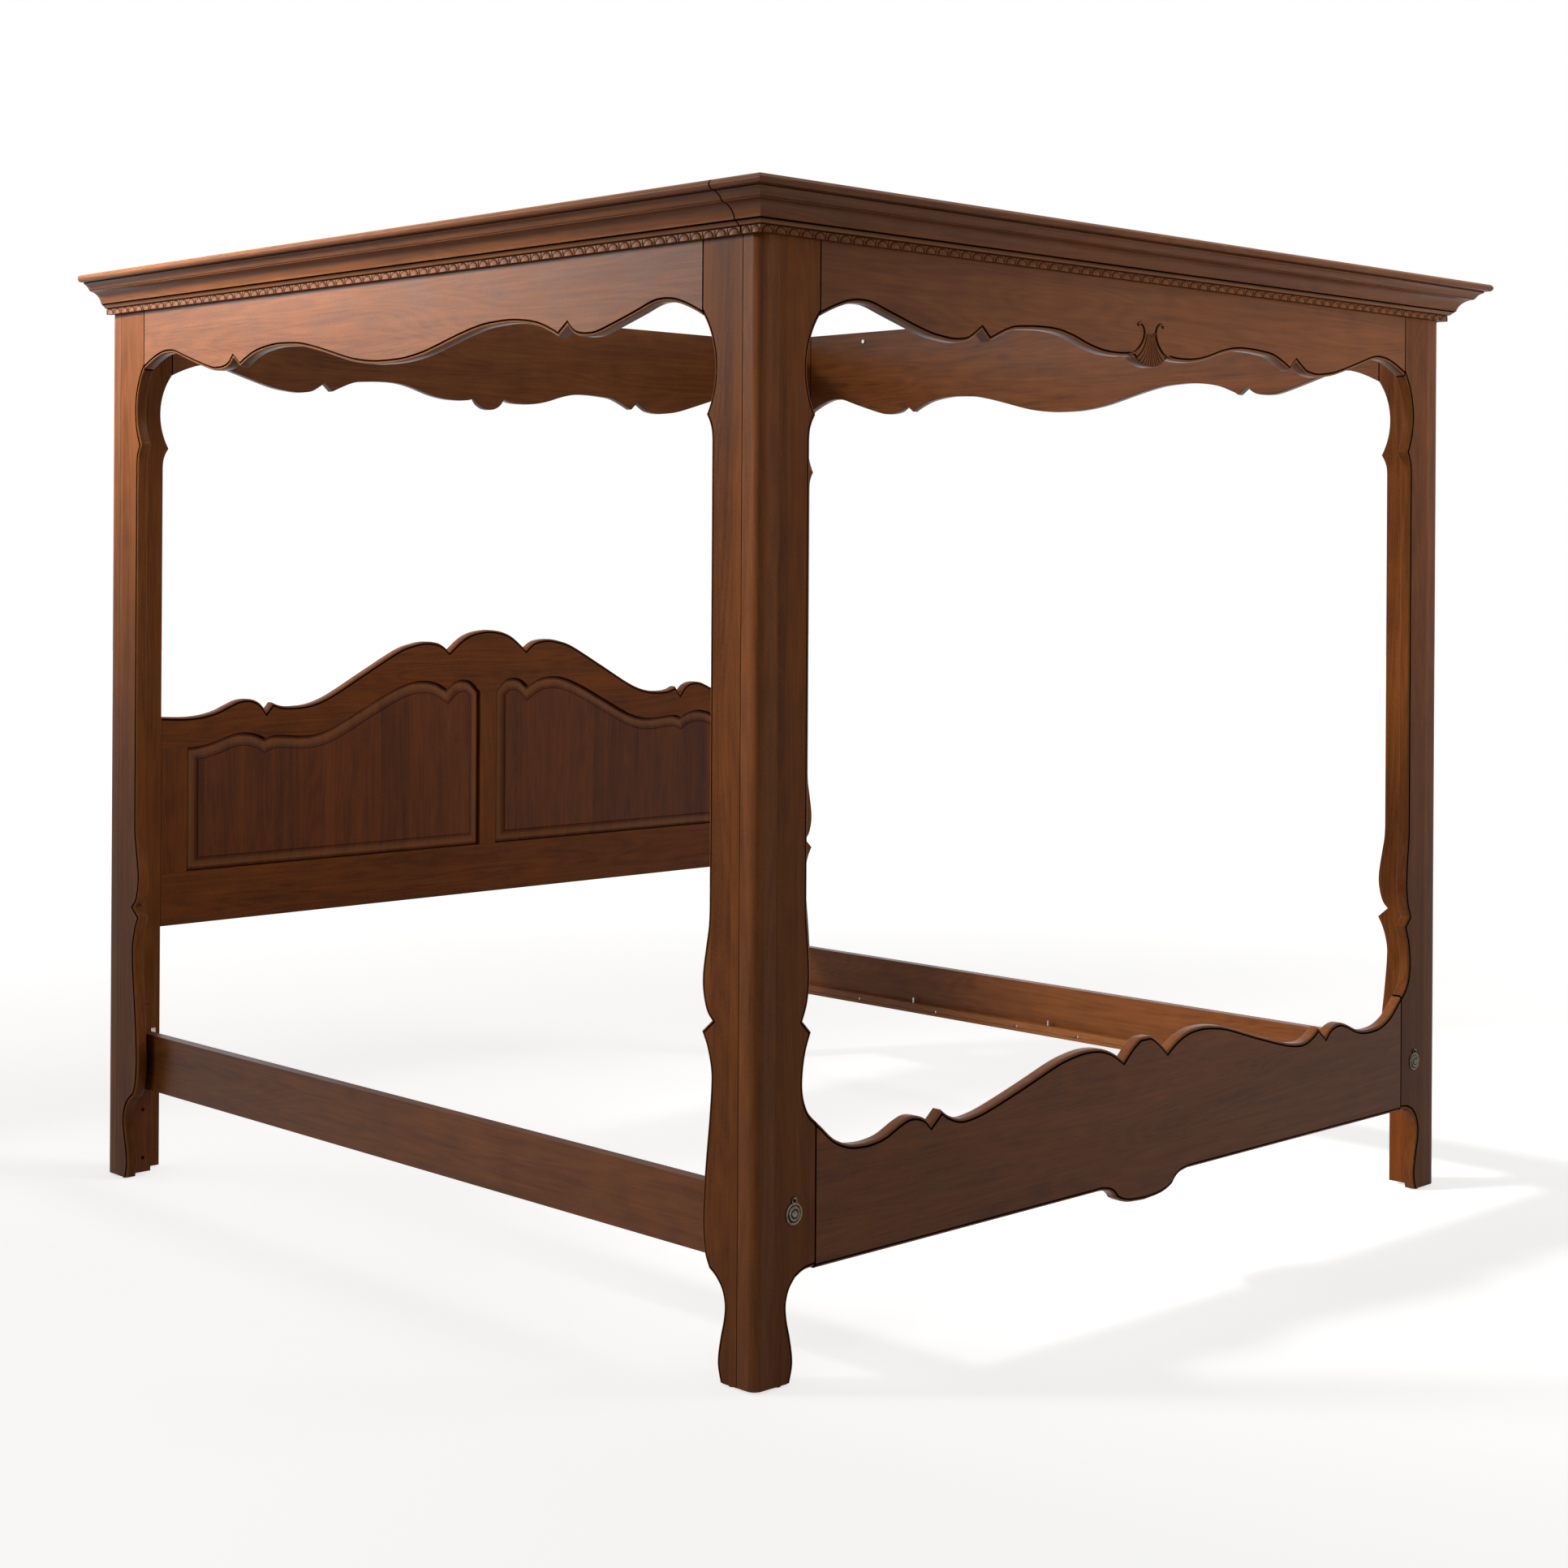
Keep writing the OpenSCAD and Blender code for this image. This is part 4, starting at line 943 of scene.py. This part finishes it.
def v_joint(side, towards):
    """The stations from the joint's middle to where the V ends, towards the head or the foot."""
    return [(across(side, return_y), V_DEEP, 1), (across(side, return_y + towards * V_WIDE), 0, 1),
            (across(side, return_y + towards * 2 * V_WIDE), 0, 0)]


SIDES = ((-1, "left"), (1, "right"))
for side, hand in SIDES:
    sweep("cornice_" + hand, "Cornice_" + hand, v_joint(side, 1) + [(across(side, cornice_back), 0, 0)],
          alder[Y])
foot_run = v_joint(-1, -1) + [(mitre(-1), 0, 0), (mitre(1), 0, 0)] + v_joint(1, -1)[::-1]
cornice = sweep("cornice_foot", "Cornice_foot", foot_run, alder[X])
cornice.data.materials.append(alder[Y])
for face in cornice.data.polygons:
    if abs(face.center.x) + post_left > post_front - face.center.y:
        face.material_index = 1
print("faces in the foot cornice:", len(cornice.data.polygons))

# %% [markdown]
# ## Carved shell
# In the middle of the foot valance the bead leaves the edge, climbs in two horns that curl over at the
# top, and a shell of eleven ribs fans out between them. It could be sculpted, but a formula keeps it
# even and easy to change: each rib is a ridge of a cosine across the fan, and the fan is narrow at its
# waist and flares like a bell. The horns are a bead swept along a smooth curve.

# %% Carve the fan of the shell
RIBS = 11
ROWS = 16
ACROSS = 121
TOP = 62
WAIST = 13
FLARE = 32.5
BACK = -7.5
shell_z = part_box("shell")[0].z
shell = bmesh.new()
shell_glaze_shade_highlight = shell.verts.layers.float.new("glaze_shade_and_highlight")


def shell_vertex(x, z, proud, tint):
    """A corner of the shell, placed in mm from the middle of its foot on the valance's face."""
    v = shell.verts.new((x * MM, post_front - proud * MM, shell_z + z * MM))
    v[shell_glaze_shade_highlight] = tint
    return v


def at_back(v):
    return shell_vertex(v.co.x / MM, (v.co.z - shell_z) / MM, BACK, 0)


front = []
for j in range(ROWS + 3):
    # The last three rows round the lip, come down to the face and go behind it.
    lip = max(0, j - ROWS + 1)
    t = min(j / ROWS, 1.0)
    row = []
    for i in range(ACROSS):
        u = 2 * i / (ACROSS - 1) - 1
        ridge = abs(math.cos(RIBS / 2 * math.pi * u))
        half = WAIST + FLARE * t ** 2.3
        foot = 16 * abs(u) ** 2.2 - 1.2 * ridge ** 0.5 * t + 1.3
        z = TOP + 5 * u * u + (foot - TOP - 5 * u * u) * t
        proud = 0.9 + 0.9 * (1 - u * u) + (0.3 + 1.7 * t) * ridge ** 0.7
        proud = (proud, proud * 0.75, 0.0, -7.0)[lip]
        z += (0, 0.4, 0.0, 0.0)[lip] + (0.9 if j == ROWS - 1 else 0)
        # The valleys between the ribs are painted dark, as glaze and painted shade, and the top row darker
        # still.
        row.append(shell_vertex(u * half, z, proud, 0.95 * (1 - ridge) ** 1.5 + (0.4 if j == 0 else 0)))
    front.append(row)
back = [(at_back(row[0]), at_back(row[-1])) for row in front]
for a, b in zip(front, front[1:]):
    for i in range(ACROSS - 1):
        shell.faces.new([a[i], a[i + 1], b[i + 1], b[i]])
for k in (0, -1):
    for (a, b), (c, d) in zip(zip(front, front[1:]), zip(back, back[1:])):
        shell.faces.new([a[k], b[k], d[k], c[k]])
top_back = [back[0][0]] + [at_back(v) for v in front[0][1:-1]] + [back[0][1]]
for i in range(ACROSS - 1):
    shell.faces.new([front[0][i], front[0][i + 1], top_back[i + 1], top_back[i]])
shell.faces.new(front[-1][::-1] + [r[0] for r in back[::-1]] + top_back[1:] + [r[1] for r in back[1:]])
print("corners in the fan:", len(shell.verts))


# %% Sweep a bead along a curve
def bead(path, widths):
    """A bead swept along a smooth path on the valance's face, painted dark along its foot as glaze and
    shade, with a painted highlight on its crown.
    """
    # Offset across the path and height, in mm, and the value for glaze and painted shade; a value below 0
    # is a painted highlight.
    profile = [(4.6, 0.05, 0.3), (3.9, 0.15, 1), (2.5, 0.15, 1), (2.2, 1.3, 0.5), (1.4, 2.6, 0),
               (0, 3.2, -0.15), (-1.4, 2.6, 0), (-2.2, 1.3, 0.5), (-2.5, 0.15, 1), (-3.6, 0.15, 1),
               (-3.8, -1.5, 1), (4.7, -1.5, 1)]
    rows = []
    for i, (p, w) in enumerate(zip(path, widths)):
        run = path[min(i + 1, len(path) - 1)] - path[max(i - 1, 0)]
        out = Vector((-run.y, run.x)).normalized()
        rows.append([shell_vertex(*(p + out * n * w), h * (w if h > 0.2 else 1), g) for n, h, g in profile])
    for a, b in zip(rows, rows[1:]):
        for i, j in closed(0, len(profile)):
            shell.faces.new([a[i], a[j], b[j], b[i]])
    shell.faces.new(rows[0])
    shell.faces.new(rows[-1])


def smooth_path(knots, steps=8):
    """A Catmull-Rom curve through the knots."""
    knots = [Vector(k) for k in knots]
    ends = [2 * knots[0] - knots[1]] + knots + [2 * knots[-1] - knots[-2]]
    made = []
    for p0, p1, p2, p3 in zip(ends, ends[1:], ends[2:], ends[3:]):
        for k in range(steps):
            t = k / steps
            made.append(0.5 * (2 * p1 + (p2 - p0) * t + (2 * p0 - 5 * p1 + 4 * p2 - p3) * t * t
                               + (3 * p1 - p0 - 3 * p2 + p3) * t ** 3))
    return made + [knots[-1]]


# %% Set the horns and the saddle
# The right horn, in mm from the middle of the shell's foot. It swells from its root in the first
# quarter, thins after 0.6 of its length, and ends in a small knob.
horn = smooth_path([(72, 21.5), (60, 23.2), (48, 27), (37, 34), (28, 43), (21.5, 53), (18, 63), (18.5, 72),
                    (23, 80), (30, 84.5), (37, 84), (40.5, 79.5)])
along = [i / (len(horn) - 1) for i in range(len(horn))]
widths = [0.25 + 0.75 * min(t / 0.25, 1) - 0.35 * max((t - 0.6) / 0.4, 0) + 0.45 * max((t - 0.93) / 0.07, 0)
          for t in along]
bead(horn, widths)
bead([Vector((-p.x, p.y)) for p in horn], widths)
saddle = smooth_path([(-17.5, 68), (-9, 63.5), (0, 62), (9, 63.5), (17.5, 68)])
bead(saddle, [0.55] * len(saddle))
bmesh.ops.recalc_face_normals(shell, faces=shell.faces)
finish_piece(to_mesh(shell, "Carved_scallop"), "shell", "Carved_scallop", alder[Z], crisp=50)
print("points along a horn:", len(horn))

# %% [markdown]
# ## Carved band
# Under the cornice runs a band of carved tongues with a dart between each pair. One tongue and its
# darts are a small relief made once from a formula. Geometry Nodes sets it along each run of the band,
# a little different in size each time, as a carver's are. A modelled band would need each tongue
# copied by hand, and a bump map would show no relief in the outline of its shadows.

# %% Carve one tongue
TONGUE = 31
BAND = 11.8
COLUMNS = 34
LINES = 12
unit = bmesh.new()
unit_glaze_and_shade = unit.verts.layers.float.new("glaze_shade_and_highlight")


def relief(u, v):
    """Height of the carving, and the dark of glaze and painted shade in its grooves, at u across and v up,
    in mm.
    """
    r = math.hypot(u / 11.6, v / 10.9)
    dart = abs(TONGUE / 2 - abs(u)) / max(2.9 * (1 - v / 12.5), 0.2)
    height = 1.5 * math.sqrt(max(1 - r * r, 0)) + 0.25 * max(1 - abs(u) / 1.5, 0) * (r < 0.8)
    if dart < 1 and r > 1.08:
        height = 1.0 * (1 - dart * dart)
    groove = math.exp(-((r - 1.03) / 0.085) ** 2) + 0.6 * math.exp(-((dart - 1.2) / 0.4) ** 2) * (r > 1)
    return height, min(groove, 1.0)


grid = []
for j in range(LINES + 1):
    v = BAND * j / LINES
    line = []
    for i in range(COLUMNS + 1):
        u = TONGUE * i / COLUMNS - TONGUE / 2
        height, tint = relief(u, v)
        line.append(unit.verts.new((u * MM, -(0.1 + height) * MM, v * MM)))
        line[-1][unit_glaze_and_shade] = tint
    grid.append(line)
for a, b in zip(grid, grid[1:]):
    for i in range(COLUMNS):
        unit.faces.new([a[i], a[i + 1], b[i + 1], b[i]])
rim = grid[0] + [line[-1] for line in grid[1:]] + grid[-1][-2::-1] + [line[0] for line in grid[-2:0:-1]]
sunk = [unit.verts.new((v.co.x, 0.5 * MM, v.co.z)) for v in rim]
for i, j in closed(0, len(rim)):
    unit.faces.new([rim[j], rim[i], sunk[i], sunk[j]])
unit.faces.new(sunk[::-1])
bmesh.ops.recalc_face_normals(unit, faces=unit.faces)
unit_object = bpy.data.objects.new("Tongue", to_mesh(unit, "Tongue"))
print("faces in a tongue:", len(unit_object.data.polygons))

# %% Build the tree that sets them in a row
carve = bpy.data.node_groups.new("Carved band", "GeometryNodeTree")
sockets = {}
for label, kind in (("Geometry", "Geometry"), ("Unit", "Object"), ("Count", "Int"), ("Start", "Vector"),
                    ("End", "Vector"), ("Turn", "Float"), ("Stretch", "Float"), ("Seed", "Int"),
                    ("Wood", "Material")):
    socket = carve.interface.new_socket(label, in_out="INPUT", socket_type="NodeSocket" + kind)
    sockets[label] = socket.identifier
carve.interface.new_socket("Geometry", in_out="OUTPUT", socket_type="NodeSocketGeometry")
given = add(carve, "NodeGroupInput").outputs
line = add(carve, "GeometryNodeMeshLine", {"mode": "END_POINTS"},
           {"Count": given["Count"], "Start Location": given["Start"], "Offset": given["End"]}).outputs[0]
single = add(carve, "GeometryNodeObjectInfo", None, {"Object": given["Unit"]}).outputs["Geometry"]
turn = add(carve, "ShaderNodeCombineXYZ", None, {2: given["Turn"]}).outputs[0]
vary = add(carve, "FunctionNodeRandomValue", None, {2: 0.985, 3: 1.0, "Seed": given["Seed"]}).outputs[1]
size = add(carve, "ShaderNodeCombineXYZ", None, {0: given["Stretch"], 1: 1.0, 2: vary}).outputs[0]
placed = add(carve, "GeometryNodeInstanceOnPoints", None,
             {"Points": line, "Instance": single, "Rotation": turn, "Scale": size}).outputs[0]
whole = add(carve, "GeometryNodeRealizeInstances", None, {0: placed}).outputs[0]
stained = add(carve, "GeometryNodeSetMaterial", None, {"Geometry": whole, "Material": given["Wood"]})
add(carve, "NodeGroupOutput", None, {0: stained.outputs[0]})
print("inputs of the carved band:", ", ".join(sockets))


# %% Set it along the band
def carved_band(name, node, start, end, turn, wood, seed):
    """A band from start to end, read along its lower front edge, as one closed piece."""
    run = Vector(end) - Vector(start)
    count = round(run.length / (TONGUE * MM))
    step = run / count
    holder = bpy.data.objects.new(name + "_path", bpy.data.meshes.new(name + "_path"))
    bpy.context.scene.collection.objects.link(holder)
    modifier = holder.modifiers.new("Carved band", "NODES")
    modifier.node_group = carve
    for label, value in (("Unit", unit_object), ("Count", count), ("Start", Vector(start) + step / 2),
                         ("End", Vector(end) - step / 2), ("Turn", math.radians(turn)),
                         ("Stretch", step.length / (TONGUE * MM)), ("Seed", seed), ("Wood", wood)):
        modifier[sockets[label]] = value
    made = bpy.data.meshes.new_from_object(holder.evaluated_get(bpy.context.evaluated_depsgraph_get()))
    bpy.data.objects.remove(holder)
    print(name, count, "tongues,", len(made.polygons), "faces")
    return finish_piece(made, node, name, wood, added=True)


# The band keeps this far from the joint between a side run and its return.
BAND_GAP = 1.5 * MM
band_x = BAND_OUT * MM - post_left
band_y = post_front - BAND_OUT * MM
for side, hand in SIDES:
    for name, node, head, foot, seed in (
            ("Carved_band_", "cornice_" + hand, cornice_back, return_y + BAND_GAP, 3),
            ("Carved_return_", "cornice_foot", return_y - BAND_GAP, band_y, 5)):
        ends = [(side * band_x, y, cornice_bottom) for y in (head, foot)]
        start, end = ends[::-side]
        carved_band(name + hand, node, start, end, 90 * side, alder[Y], seed)
carved_band("Carved_band_foot", "cornice_foot", (-band_x, band_y, cornice_bottom),
            (band_x, band_y, cornice_bottom), 0, alder[X], 7)
bpy.data.objects.remove(unit_object)

# %% [markdown]
# ## Studio
# The bed stands in a plain white room that shows as a pale floor and a white world. A real studio
# would light the backdrop with more lamps, and those would also wash out the dark wood. Here the floor
# and the world give a light of their own, but only to the rays that show them: those of the camera, of
# gloss and of glass. Six soft lamps light the wood, and the floor keeps the bed's shadow. The floor
# is a little darker round the bed, so that the shadow shows, and white further out.

# %% Lay the floor and light the world
FLOOR_REACH = 30.0
WORLD_LIGHT = 0.22
NEAR_GLOW, FAR_GLOW = 0.7, 0.95
GLOW_FROM, GLOW_TO = 1.5, 7.0


def seen_rays(tree):
    """1 for the rays that show the background: those of the camera, of gloss and of glass."""
    rays = add(tree, "ShaderNodeLightPath").outputs
    mirror = add(tree, "ShaderNodeMath", {"operation": "MAXIMUM"},
                 {0: rays["Is Glossy Ray"], 1: rays["Is Transmission Ray"]}).outputs[0]
    return add(tree, "ShaderNodeMath", {"operation": "MAXIMUM"},
               {0: rays["Is Camera Ray"], 1: mirror}).outputs[0]


# Matt paper, a warm pale grey with no sheen.
paper = bpy.data.materials.new("Paper_matt_pale")
paper.use_nodes = True
tree = paper.node_tree
shader = tree.nodes["Principled BSDF"]
shader.inputs["Base Color"].default_value = linear("#cfcdc9")
shader.inputs["Roughness"].default_value = 0.9
shader.inputs["Emission Color"].default_value = (1, 1, 1, 1)
place = add(tree, "ShaderNodeTexCoord").outputs["Object"]
away = add(tree, "ShaderNodeVectorMath", {"operation": "LENGTH"}, {0: place}).outputs["Value"]
glow = add(tree, "ShaderNodeMapRange", {"interpolation_type": "SMOOTHSTEP"},
           {"Value": away, "From Min": GLOW_FROM, "From Max": GLOW_TO, "To Min": NEAR_GLOW,
            "To Max": FAR_GLOW}).outputs["Result"]
lift = add(tree, "ShaderNodeMath", {"operation": "MULTIPLY"}, {0: seen_rays(tree), 1: glow}).outputs[0]
tree.links.new(lift, shader.inputs["Emission Strength"])

floor_mesh = bpy.data.meshes.new("Floor")
corners = [(x * FLOOR_REACH, y * FLOOR_REACH, 0) for x, y in ((-1, -1), (1, -1), (1, 1), (-1, 1))]
floor_mesh.from_pydata(corners, [], [(0, 1, 2, 3)])
floor_mesh.materials.append(paper)
floor = bpy.data.objects.new("Floor", floor_mesh)
bpy.context.scene.collection.objects.link(floor)

world = bpy.data.worlds.new("Studio")
bpy.context.scene.world = world
world.use_nodes = True
tree = world.node_tree
strength = add(tree, "ShaderNodeMapRange", None,
               {"Value": seen_rays(tree), "To Min": WORLD_LIGHT, "To Max": 1.0})
tree.nodes["Background"].inputs["Color"].default_value = (1, 1, 1, 1)
tree.links.new(strength.outputs[0], tree.nodes["Background"].inputs["Strength"])
print("floor", 2 * FLOOR_REACH, "m wide")


# %% Hang the lamps
def softbox(name, place, aim, size, power, mirrored=True, spread=180):
    """A soft lamp. One that isn't mirrored lights the wood without showing in its varnish."""
    lamp = bpy.data.lights.new(name, "AREA")
    lamp.shape = "RECTANGLE"
    lamp.size, lamp.size_y = size
    lamp.energy = power
    lamp.spread = math.radians(spread)
    holder = bpy.data.objects.new(name, lamp)
    holder.location = place
    holder.rotation_euler = (Vector(aim) - Vector(place)).to_track_quat("-Z", "Y").to_euler()
    holder.visible_glossy = mirrored
    bpy.context.scene.collection.objects.link(holder)


# Two lamps over the left side: a sheen on the canopy's near end, and a beam along the side valance.
softbox("Softbox_left_rear", (-4.2, 3.7, 2.75), (-1.06, -0.7, 1.9), (3.0, 1.0), 10, True, 60)
softbox("Softbox_left_high", (-3.6, 2.7, 3.4), (-1.06, 0.75, 1.9), (2.2, 0.35), 28, False, 32)
# One low on the left, for the rail and the feet.
softbox("Softbox_left", (-6.0, 0.0, 0.8), (-0.6, 0, 0.2), (3.2, 1.4), 4.2, False, 42)
# Two on the right: one for the whole foot end, and a beam for the right end of its valance.
softbox("Softbox_right", (5.5, -5.5, 3.4), (0, -0.8, 1.2), (3.2, 3.2), 15, False)
softbox("Softbox_right_high", (3.6, -4.6, 2.1), (0.85, -1.02, 1.95), (2.2, 0.35), 10, False, 40)
# One overhead, aimed at the head end.
softbox("Softbox_top", (2.3, -2.2, 4.2), (-0.2, 1.0, 1.5), (3.0, 1.0), 9, True, 60)
bpy.context.scene.view_settings.view_transform = "Standard"
print("lamps:", len(bpy.data.lights))
